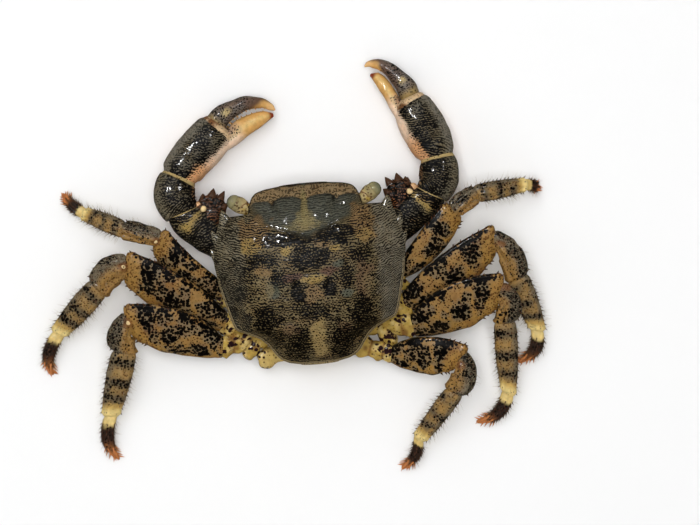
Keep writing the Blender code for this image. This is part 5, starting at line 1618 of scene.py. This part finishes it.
def finger_finish(share, outer, above, ragged, patchy):
    """Grey-brown, ochre at the root, with a pale patch behind it and an amber to cream tip."""
    tone = mixed("finger", "lobe brown", 0.5 * patchy)
    tone = mixed(tone, "ochre", 0.7 * hump(share + 0.02 * ragged, 0.08))
    tone = mixed(tone, "claw grey", 0.5 * smooth(0.5, 0.9, outer))
    worn = smooth(0.45, 0.7, share + 0.08 * ragged - 0.12 * outer)
    tone = mixed(tone, "lobe brown", 0.6 * worn)
    tone = mixed(tone, "amber", smooth(0.68, 0.9, share + 0.08 * ragged - 0.15 * outer))
    patch = hump(share - 0.24 + 0.03 * ragged, 0.055) * above
    patch = patch * smooth(0.5, 0.2, np.abs(outer + 0.15 * ragged))
    tone = mixed(tone, "root cream", 0.6 * patch)
    tone = mixed(tone, "finger tip", 0.7 * smooth(0.82, 0.95, share))
    return {
        "tone": tone,
        "blotch": (0.3 + 0.2 * ragged) * smooth(0.75, 0.45, share) * smooth(0.02, 0.1, share) * (1 - patch),
        "dots": 0.3 * smooth(0.7, 0.5, share),
        "stria": 0.25 * above * smooth(0.7, 0.4, share),
    }


def claw_finish(kind, share, outer, top, spots, seed):
    """Tone, cover and lines of a claw piece. `outer` is 1 at the outer edge, -1 at the inner."""
    if kind == "base":
        return root_finish(share, spots, seed)
    ragged = lumps(spots, 2.0, seed) + 0.5 * lumps(spots, 0.9, seed + 1)
    patchy = smooth(-0.4, 0.5, lumps(spots, 2.6, seed + 2) + 0.3 * ragged)
    above = smooth(-0.25, 0.25, top)
    dark = mixed("claw dark", "umber", 0.45 * patchy)
    along, slant = CLAW_LINES.get(kind, (0.0, 0.0))
    marks = {
        "dots": 0.2,
        "stria": 0.55 * above * (0.5 + 0.5 * patchy),
        "phase": along * share + slant * outer + 0.3 * ragged,
    }
    if kind == "palm":
        marks.update(palm_finish(dark, share, outer, top, above, ragged))
    elif kind == "carpus":
        marks.update(claw_carpus_finish(dark, share, outer, top, ragged))
    elif kind == "merus":
        marks.update(claw_merus_finish(dark, share, outer, top, above, ragged))
    elif kind == "thumb":
        marks.update(thumb_finish(share, outer, above, ragged))
    else:
        marks.update(finger_finish(share, outer, above, ragged, patchy))
    marks["blotch"] = np.clip(marks["blotch"], 0, 1)
    marks["stria"] = np.clip(marks["stria"], 0, 1)
    return marks


# %% Claw pieces
def finger_teeth(rings, share_rows, inner_degrees, size, tone):
    """Blunt teeth in a row along the biting edge, largest near the root."""
    shares = np.linspace(0.18, 0.86, 9)
    roots, out, _, _ = on_grid(rings, share_rows, shares, np.full(9, inner_degrees))
    reach = size * (0.6 - 0.42 * shares) * np.array([1.0, 0.7, 1.1, 0.6, 1.0, 0.7, 0.9, 0.6, 0.7])
    radius = 0.42 - 0.25 * shares
    return thorns(roots - out * radius[:, None], out, reach + radius, radius, tone, sides=8)


LOBE_WIDTH = 5.4
LOBE_DEPTH = 1.9
LOBE_PROFILE = ((0.0, 1.0), (0.35, 0.95), (0.7, 0.95), (0.9, 0.92), (1.0, 0.7))  # share along, of the width
LOBE_TOOTH_RADIUS = 1.0
LOBE_TOOTH_DROP = 0.2  # of a tooth's tip below the lobe's end
LOBE_SIDE_TEETH = ((2.6, 0.1), (2.7, -1.5))  # aside of the lobe's end and ahead of it
TOOTH_SUNK = 0.76  # of the way from the lobe's root to a tooth's tip, where the tooth starts
WART_COUNT = 22


def lobe_tooth_tips(claw, end, way, level):
    """The tips of a lobe's teeth: the long ones, a short one between each two, and the sides'."""
    long = np.array([(*tip, end[2] - LOBE_TOOTH_DROP) for tip in claw["lobe_teeth"]])
    short = (long[:-1] + long[1:]) / 2 - way * 0.9
    aside = [end + level * (turn * out) + way * ahead for out, ahead in LOBE_SIDE_TEETH for turn in (-1, 1)]
    return np.concatenate([long, short, aside])


def make_lobe(claw, draw):
    """The flattened lobe of the merus: a tapering plate with pointed teeth round its end."""
    root, end = (np.array(place) for place in claw["lobe"])
    way = unit(end - root)
    level = unit(np.cross(UP, way))
    stations = [
        (*(root + (end - root) * share), LOBE_WIDTH * size, LOBE_DEPTH * size) for share, size in LOBE_PROFILE
    ]
    rings, share_rows = path_tube(stations, way, way, 70, 72)
    share, _, _ = ring_axes(share_rows, 72)
    ragged = lumps(rings, 1.0, 41) + 0.5 * lumps(rings, 0.5, 42)
    rings = raised(rings, 0.15 * lumps(rings, 0.8, 43))
    orange = smooth(0.0, 0.6, ragged) * smooth(0.95, 0.4, share)
    tone = mixed("lobe brown", "lobe orange", orange)
    parts = [tube(rings, tone=tone, blotch=0.62 + 0.2 * ragged, dots=0.3)]

    tips = lobe_tooth_tips(claw, end, way, level)
    tips[:, 2] += draw.uniform(-0.2, 0.3, len(tips))
    inner = root + (tips - root) * TOOTH_SUNK
    reach = np.linalg.norm(tips - inner, axis=1)
    radius = LOBE_TOOTH_RADIUS * draw.uniform(0.75, 1.05, len(tips))
    parts.append(thorns(inner, tips - inner, reach, radius, TONES["spine brown"], sides=8))
    along = draw.uniform(0.35, 1.0, (WART_COUNT, 1))
    aside = draw.uniform(-0.42, 0.42, (WART_COUNT, 1)) * LOBE_WIDTH * (1 - 0.3 * along)
    spots = root + (end - root) * along + level * aside + UP * 0.55
    lean = UP + way * 0.7 + draw.uniform(-0.3, 0.3, (WART_COUNT, 3))
    size = draw.uniform(0.18, 0.3, WART_COUNT)
    parts.append(thorns(spots, lean, 1.9 * size, size, SOOT))
    return parts


def make_claw(name, claw, seed):
    """One claw, from its base to the moving finger."""
    side = claw["side"]
    draw = np.random.default_rng(seed)
    start, start_way = facet(FACET_OF_CLAW, side)
    hip = np.array(claw["merus"][0][:3])
    hip_way = unit(np.array(claw["merus"][1][:3]) - start)
    wrist_stations = seated(claw["carpus"], claw["merus"][-1], claw["knee_normal"])
    palm_stations = seated(claw["palm"], claw["carpus"][-1], claw["wrist_normal"])
    base = bowed(
        (start, hip - hip_way * GAP), (start_way, hip_way), (0, 0, 0), PROFILES["base"],
        CLAW_BASE_SIZE, (0.0, 0.0), 50, 64,
    )
    shapes = {
        "base": base,
        "merus": path_tube(claw["merus"], hip_way, claw["knee_normal"], 110, CLAW_COLUMNS),
        "carpus": path_tube(wrist_stations, claw["knee_normal"], claw["wrist_normal"], 100, CLAW_COLUMNS),
        "palm": path_tube(palm_stations, claw["wrist_normal"], claw["finger_normal"], 130, CLAW_COLUMNS),
    }
    finger_out = end_ways(claw["dactyl"])[1]
    shapes["thumb"] = path_tube(claw["thumb"], *end_ways(claw["thumb"]), 110, 80)
    shapes["finger"] = path_tube(claw["dactyl"], claw["finger_normal"], finger_out, 120, 80, bulge=0.6)
    parts = {}
    for kind, (rings, share_rows) in shapes.items():
        share, wide, top = ring_axes(share_rows, rings.shape[1])
        outer = -wide * side
        body = smooth(0.0, 0.08, share) * smooth(1.0, 0.92, share)
        keel = 0.12 * hump(top - 0.25, 0.1) * smooth(0.3, 0.8, outer) * body
        rings = raised(rings, claw_grain(rings) + (keel if kind == "palm" else 0))
        keep_above_floor(rings)
        parts[kind] = [tube(rings, **claw_finish(kind, share, outer, top, rings, seed + len(kind)))]
        if kind in ("thumb", "finger"):
            inner = 0.0 if (kind == "thumb") == (side < 0) else 180.0
            tone = TONES["amber"] if kind == "thumb" else TONES["finger tip"]
            parts[kind].append(finger_teeth(rings, share_rows, inner, claw["tooth_size"], tone))
    parts["merus"] += make_lobe(claw, draw)
    parts["palm"] += parts["thumb"]
    piece(f"{name}_base_shell", parts["base"], ROOT_SKIN, [f"{name}_base"])
    for kind, slot in (("merus", "claw"), ("carpus", "claw"), ("palm", "claw"), ("finger", "finger")):
        piece(f"{name}_{kind}_shell", parts[kind], CLAW_SKIN, [f"{name}_{kind}"])


for seed, (name, claw) in enumerate(CLAWS.items(), start=50):
    make_claw(name, claw, seed)
print("claws:", len(CLAWS))

# %% [markdown]
# ## Joint knobs
# At each knee two pale, polished knobs hold the segments like a hinge pin. From above one of
# them shows as a small cream bead, so a few beads are set one by one where they can be seen.

# %% Knobs as round beads
parts = []
for x, y, z, radius, tone in KNOBS:
    ball = bead((x, y, z), (0.0, 1.0, 0.0), radius, radius, radius, 14, 18)
    ball = raised(ball, 0.2 * radius * lumps(ball, 0.7, 16))
    parts.append(tube(ball, tone=TONES[tone], dots=0.12))
piece("joint_knobs", parts, ROOT_SKIN)
print("knobs:", len(parts))

# %% [markdown]
# ## Eyes, feelers and mouth
# The eyes stand on short, thick stalks that fold sideways into the orbits. The cornea is a
# dull green cap at the outer end. Two feelers and the mouth plates lie under the brow. Each
# piece is made once for each side, with its stations' x turned over for the left.

# %% Head sizes for the right side: stations of x, y, z, width, depth
STALK = (
    (10.7, 12.7, 8.7, 2.2, 2.2), (11.2, 13.05, 8.85, 2.5, 2.4), (11.75, 13.45, 9.0, 2.9, 2.8),
    (12.3, 13.85, 9.2, 3.1, 2.9), (12.95, 14.25, 9.4, 2.9, 2.8),
)
STALK_NORMALS = ((0.8, 0.6, 0.12), (0.82, 0.56, 0.12))
CORNEA_PLACE = (13.2, 14.42, 9.47)
CORNEA_RADIUS = 1.42
CORNEA_BEHIND = 0.4
CORNEA_AHEAD = 1.36
FEELER = (
    (6.6, 12.45, 8.0, 1.3, 1.2), (7.0, 13.1, 7.7, 1.1, 1.0), (7.6, 13.7, 7.0, 0.8, 0.8),
    (8.2, 14.0, 6.0, 0.62, 0.62), (8.8, 14.2, 4.9, 0.5, 0.5),
)
FEELER_NORMALS = ((0.0, 1.0, 0.0), (0.9, 0.4, -0.4))
THORAX_SLOPE = [(y, low) for y, _, low in THORAX_STATIONS[-2:]]  # where it rises to the mouth
MOUTH_PLATE = (
    # share up that slope, x, width, depth
    (0.20, 3.0, 3.4, 1.0), (0.34, 3.1, 4.2, 1.3), (0.62, 3.1, 4.1, 1.3),
    (0.88, 3.3, 3.6, 1.2), (1.12, 3.6, 2.4, 1.0),
)
MOUTH_CLEARANCE = GAP + 0.7
MOUTH_POWER = 2.8


def sided(way, side):
    """A direction or place on the crab's left where side is -1."""
    return (side * way[0], *way[1:])


def mouth_stations(side):
    """The mouth plate's places: up the thorax's front slope and a clearance out from it."""
    (low_y, low_z), (high_y, high_z) = THORAX_SLOPE
    rise = np.array([0.0, high_y - low_y, high_z - low_z])
    out = unit(np.array([0.0, rise[2], -rise[1]])) * MOUTH_CLEARANCE
    places = []
    for share, x, width, depth in MOUTH_PLATE:
        spot = np.array([side * x, low_y, low_z]) + rise * share + out
        places.append((*spot, width, depth))
    return places, rise


def make_head():
    """Eyestalks, corneas, feelers and mouth plates on both sides."""
    for side, word in ((-1, "left"), (1, "right")):
        root_way, end_way = (sided(way, side) for way in STALK_NORMALS)
        rings, share_rows = path_tube(mirror(STALK, side), root_way, end_way, 50, 56, 0.35, power=2.0)
        share, wide, top = ring_axes(share_rows, 56)
        ragged = lumps(rings, 0.8, 61)
        crease = hump(share - 0.62 + 0.3 * wide * side + 0.1 * ragged, 0.07)
        crease = crease * smooth(0.1, 0.6, top)
        rings = raised(rings, -0.08 * crease)
        tone = mixed("stalk", "root yellow", smooth(0.0, 0.6, ragged))
        tone = mixed(tone, "stalk red", 0.85 * crease)
        tone = mixed(tone, "cornea edge", 0.9 * smooth(0.5, 0.85, share + 0.1 * ragged))
        skin = tube(rings, tone=tone, blotch=0.1 + 0.1 * ragged, dots=0.25)
        piece(f"eyestalk_{word}_shell", [skin], ROOT_SKIN, [f"eyestalk_{word}"])

        cap = bead(sided(CORNEA_PLACE, side), end_way, CORNEA_RADIUS, CORNEA_BEHIND, CORNEA_AHEAD, 40, 56)
        edge = smooth(0.86, 0.52, np.linspace(0, 1, len(cap))[:, None] + 0.1 * lumps(cap, 0.7, 63))
        tone = mixed("cornea", "cornea edge", edge)
        piece(f"eye_{word}_cornea", [tube(cap, tone=tone)], EYE_SKIN, [f"eye_{word}"])

        ways = [sided(way, side) for way in FEELER_NORMALS]
        feeler = path_tube(mirror(FEELER, side), *ways, 60, 32)[0]
        piece(f"feeler_{word}", [tube(feeler, tone=TONES["rust"])], LEG_SKIN, [f"antenna_{word}"])

        places, rise = mouth_stations(side)
        plate = path_tube(places, rise, rise, 60, 48, power=MOUTH_POWER)[0]
        skin = tube(plate, tone=TONES["belly"])
        piece(f"mouth_{word}", [skin], BELLY_SKIN, [f"mouth_plate_{word}"])


make_head()

# %% [markdown]
# ## Belly
# Under the shell the body is a flat-bottomed block of fused plates, with the tail folded up
# under it in a shallow groove. Both are tubes along the body with rounded corners, and the
# seams between their plates are narrow grooves.

# %% Belly sizes
THORAX_TOP = 6.2
FLAP_THICKNESS = 0.8
FLAP_STATIONS = (
    # y, z of its middle, half width
    (-1.6, 0.4, 1.1), (-4.0, 0.4, 2.2), (-8.0, 0.4, 3.1), (-12.0, 0.4, 3.9), (-15.9, 0.4, 4.2),
    (-16.7, 0.8, 4.2), (-16.9, 2.4, 4.0), (-16.95, 5.9, 3.6),
)
FLAP_SEAMS = (2.4, 5.2, 8.0, 10.6, 13.2, 17.0, 19.0)  # millimetres along the flap from its tip
BODY_POWER = 6.0
THORAX_COLUMNS = 288  # fine enough for the steep walls of the flap's groove
GROOVE_LIFT = FLAP_THICKNESS + GAP


# %% Belly pieces
def make_thorax():
    """The thorax: squarish sections, raised where the flap lies, with a seam at each limb."""
    stations = [
        (0.0, y, (low + THORAX_TOP) / 2, 2 * half, THORAX_TOP - low) for y, half, low in THORAX_STATIONS
    ]
    ahead = (0.0, 1.0, 0.0)
    rings, share_rows = path_tube(stations, ahead, ahead, 200, THORAX_COLUMNS, 0.05, power=BODY_POWER)
    y = rings[..., 1]
    flap = np.array(FLAP_STATIONS)
    reach = np.interp(y, flap[4::-1, 0], flap[4::-1, 2]) + GAP
    under = smooth(reach + 0.5, reach - 0.1, np.abs(rings[..., 0])) * smooth(-1.0, -1.6, y)
    rings[..., 2] = np.maximum(rings[..., 2], GROOVE_LIFT * under)
    seam = np.zeros_like(y)
    for place, _ in THORAX_SIDES[1:]:
        seam += hump(y - place, 0.22)
    lift = 0.03 * lumps(rings, 1.2, 81) - 0.16 * seam
    rings = rings + out_of(rings) * lift[..., None] * np.array([1.0, 0.0, 0.6])
    keep_above_floor(rings)
    _, _, top = ring_axes(share_rows, THORAX_COLUMNS)
    tone = mixed("belly", "root yellow", smooth(-0.3, 0.8, top))
    tone = mixed(tone, "root brown", 0.5 * seam)
    skin = tube(rings, tone=tone, blotch=0.12, dots=0.1)
    return piece("thorax_shell", [skin], BELLY_SKIN, ["thorax"])


def make_abdomen():
    """The tail flap: a thin plate that runs back under the body and up behind it."""
    stations = [(0.0, y, z, 2 * half, FLAP_THICKNESS) for y, z, half in FLAP_STATIONS]
    rings, _ = path_tube(stations, (0.0, -1.0, 0.0), (0.0, -0.02, 1.0), 200, 72, power=4.0)
    centres = rings.mean(axis=1)
    travelled = np.concatenate([[0.0], np.cumsum(np.linalg.norm(np.diff(centres, axis=0), axis=1))])
    seam = np.zeros(len(travelled))
    for place in FLAP_SEAMS:
        seam += hump(travelled - place, 0.16)
    lift = 0.03 * lumps(rings, 1.0, 82) - 0.14 * seam[:, None]
    rings = raised(rings, lift)
    keep_above_floor(rings)
    tone = mixed("belly", "root yellow", 0.5)
    tone = mixed(tone, "root brown", 0.6 * np.broadcast_to(seam[:, None], rings.shape[:2]))
    skin = tube(rings, tone=tone, blotch=0.14, dots=0.12)
    return piece("abdomen_shell", [skin], BELLY_SKIN, ["abdomen"])


for plate in (make_thorax(), make_abdomen()):
    print(plate.name, "faces:", len(plate.data.polygons))

# %% [markdown]
# ## Floor, light and camera
# The photograph was taken from straight above on a white ground, in soft light from the upper
# left. Wide soft lights and dim white surroundings give the even ground. Three small lamps show
# only in the gloss, as the wet glints. Floor, wide lights and surroundings are kept out of the
# gloss, because their reflections would veil the black of the shell.

# %% Floor
FLOOR_HALF = 1.2  # metres
FLOOR_DROP = 0.00002


def make_floor():
    """A wide pale sheet a hair below the crab."""
    mesh = bpy.data.meshes.new("floor")
    corners = [(-1, -1), (1, -1), (1, 1), (-1, 1)]
    points = [(x * FLOOR_HALF, y * FLOOR_HALF, -FLOOR_DROP) for x, y in corners]
    mesh.from_pydata(points, [], [(0, 1, 2, 3)])
    floor = bpy.data.objects.new("floor", mesh)
    white, _, shader = new_material("floor_white")
    shader.inputs["Base Color"].default_value = (0.9, 0.9, 0.9, 1.0)
    shader.inputs["Roughness"].default_value = 0.8
    mesh.materials.append(white)
    floor.visible_glossy = False
    bpy.context.scene.collection.objects.link(floor)


make_floor()
print("floor:", 2 * FLOOR_HALF, "metres wide")

# %% Lights: name, place in metres, size in metres, power in watts
LIGHTS = (
    ("overhead_box", (0.0, 0.0, 0.7), 0.4, 3.0),
    ("front_box", (0.0, 0.55, 0.45), 0.4, 0.6),
    ("rear_box", (0.0, -0.55, 0.45), 0.4, 0.4),
    ("left_box", (-0.55, 0.0, 0.45), 0.4, 0.6),
    ("right_box", (0.55, 0.0, 0.45), 0.4, 0.4),
    ("key_box", (-0.16, 0.30, 0.62), 0.25, 0.7),
    ("first_glint", (-0.30, 0.26, 0.60), 0.03, 1.2),
    ("second_glint", (-0.16, 0.26, 0.62), 0.03, 2.4),
    ("third_glint", (0.20, 0.30, 0.62), 0.03, 0.9),
)
for name, place, size, power in LIGHTS:
    lamp = bpy.data.lights.new(name, "AREA")
    lamp.size = size
    lamp.energy = power
    lamp_object = bpy.data.objects.new(name, lamp)
    lamp_object.location = place
    lamp_object.visible_glossy = "glint" in name  # only these are mirrored in the wet shell
    lamp_object.visible_diffuse = "glint" not in name
    lamp_object.rotation_euler = (-Vector(place)).to_track_quat("-Z", "Y").to_euler()
    bpy.context.scene.collection.objects.link(lamp_object)
print("lights:", len(LIGHTS))

# %% Surroundings, brighter to the camera than as a light
WORLD_AS_LIGHT = 0.2
WORLD_SEEN = 0.9
world = bpy.data.worlds.new("studio")
bpy.context.scene.world = world
world.use_nodes = True
sky = world.node_tree.nodes["Background"]
sky.inputs["Color"].default_value = (1.0, 1.0, 1.0, 1.0)
seen = add(world.node_tree, "LightPath").outputs["Is Camera Ray"]
levels = {"Value": seen, "To Min": WORLD_AS_LIGHT, "To Max": WORLD_SEEN}
strength = add(world.node_tree, "MapRange", levels)
world.node_tree.links.new(strength.outputs["Result"], sky.inputs["Strength"])
world.cycles_visibility.glossy = False
bpy.context.scene.view_settings.view_transform = "Standard"

# %% Camera: straight down, turned as the photograph is
PHOTO_MIDDLE = (7.4, 1.1)  # in the crab's millimetres
PHOTO_WIDTH = 131.9  # millimetres across the picture, at the height of the limbs
LIMB_HEIGHT = 8.0
CAMERA_HEIGHT = 450.0
PHOTO_TURN = 5.5  # degrees
camera = bpy.data.cameras.new("camera")
camera.sensor_width = 36.0
camera.lens = camera.sensor_width * (CAMERA_HEIGHT - LIMB_HEIGHT) / PHOTO_WIDTH
camera.clip_start = 0.01
camera_object = bpy.data.objects.new("camera", camera)
camera_object.location = (
    (PHOTO_MIDDLE[0] + BODY_SHIFT[0]) * MM,
    (PHOTO_MIDDLE[1] + BODY_SHIFT[1]) * MM,
    CAMERA_HEIGHT * MM,
)
camera_object.rotation_euler = (0.0, 0.0, math.radians(-PHOTO_TURN))
bpy.context.scene.collection.objects.link(camera_object)
bpy.context.scene.camera = camera_object
print("lens:", round(camera.lens, 1))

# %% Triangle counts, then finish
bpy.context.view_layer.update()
counts = {}
for thing in bpy.data.objects:
    if thing.type == "MESH" and thing.name not in frame["nodes"]:
        counts[thing.name] = len(thing.data.loops) - 2 * len(thing.data.polygons)
print("triangles:", sum(counts.values()), "most:", max(counts, key=counts.get), max(counts.values()))
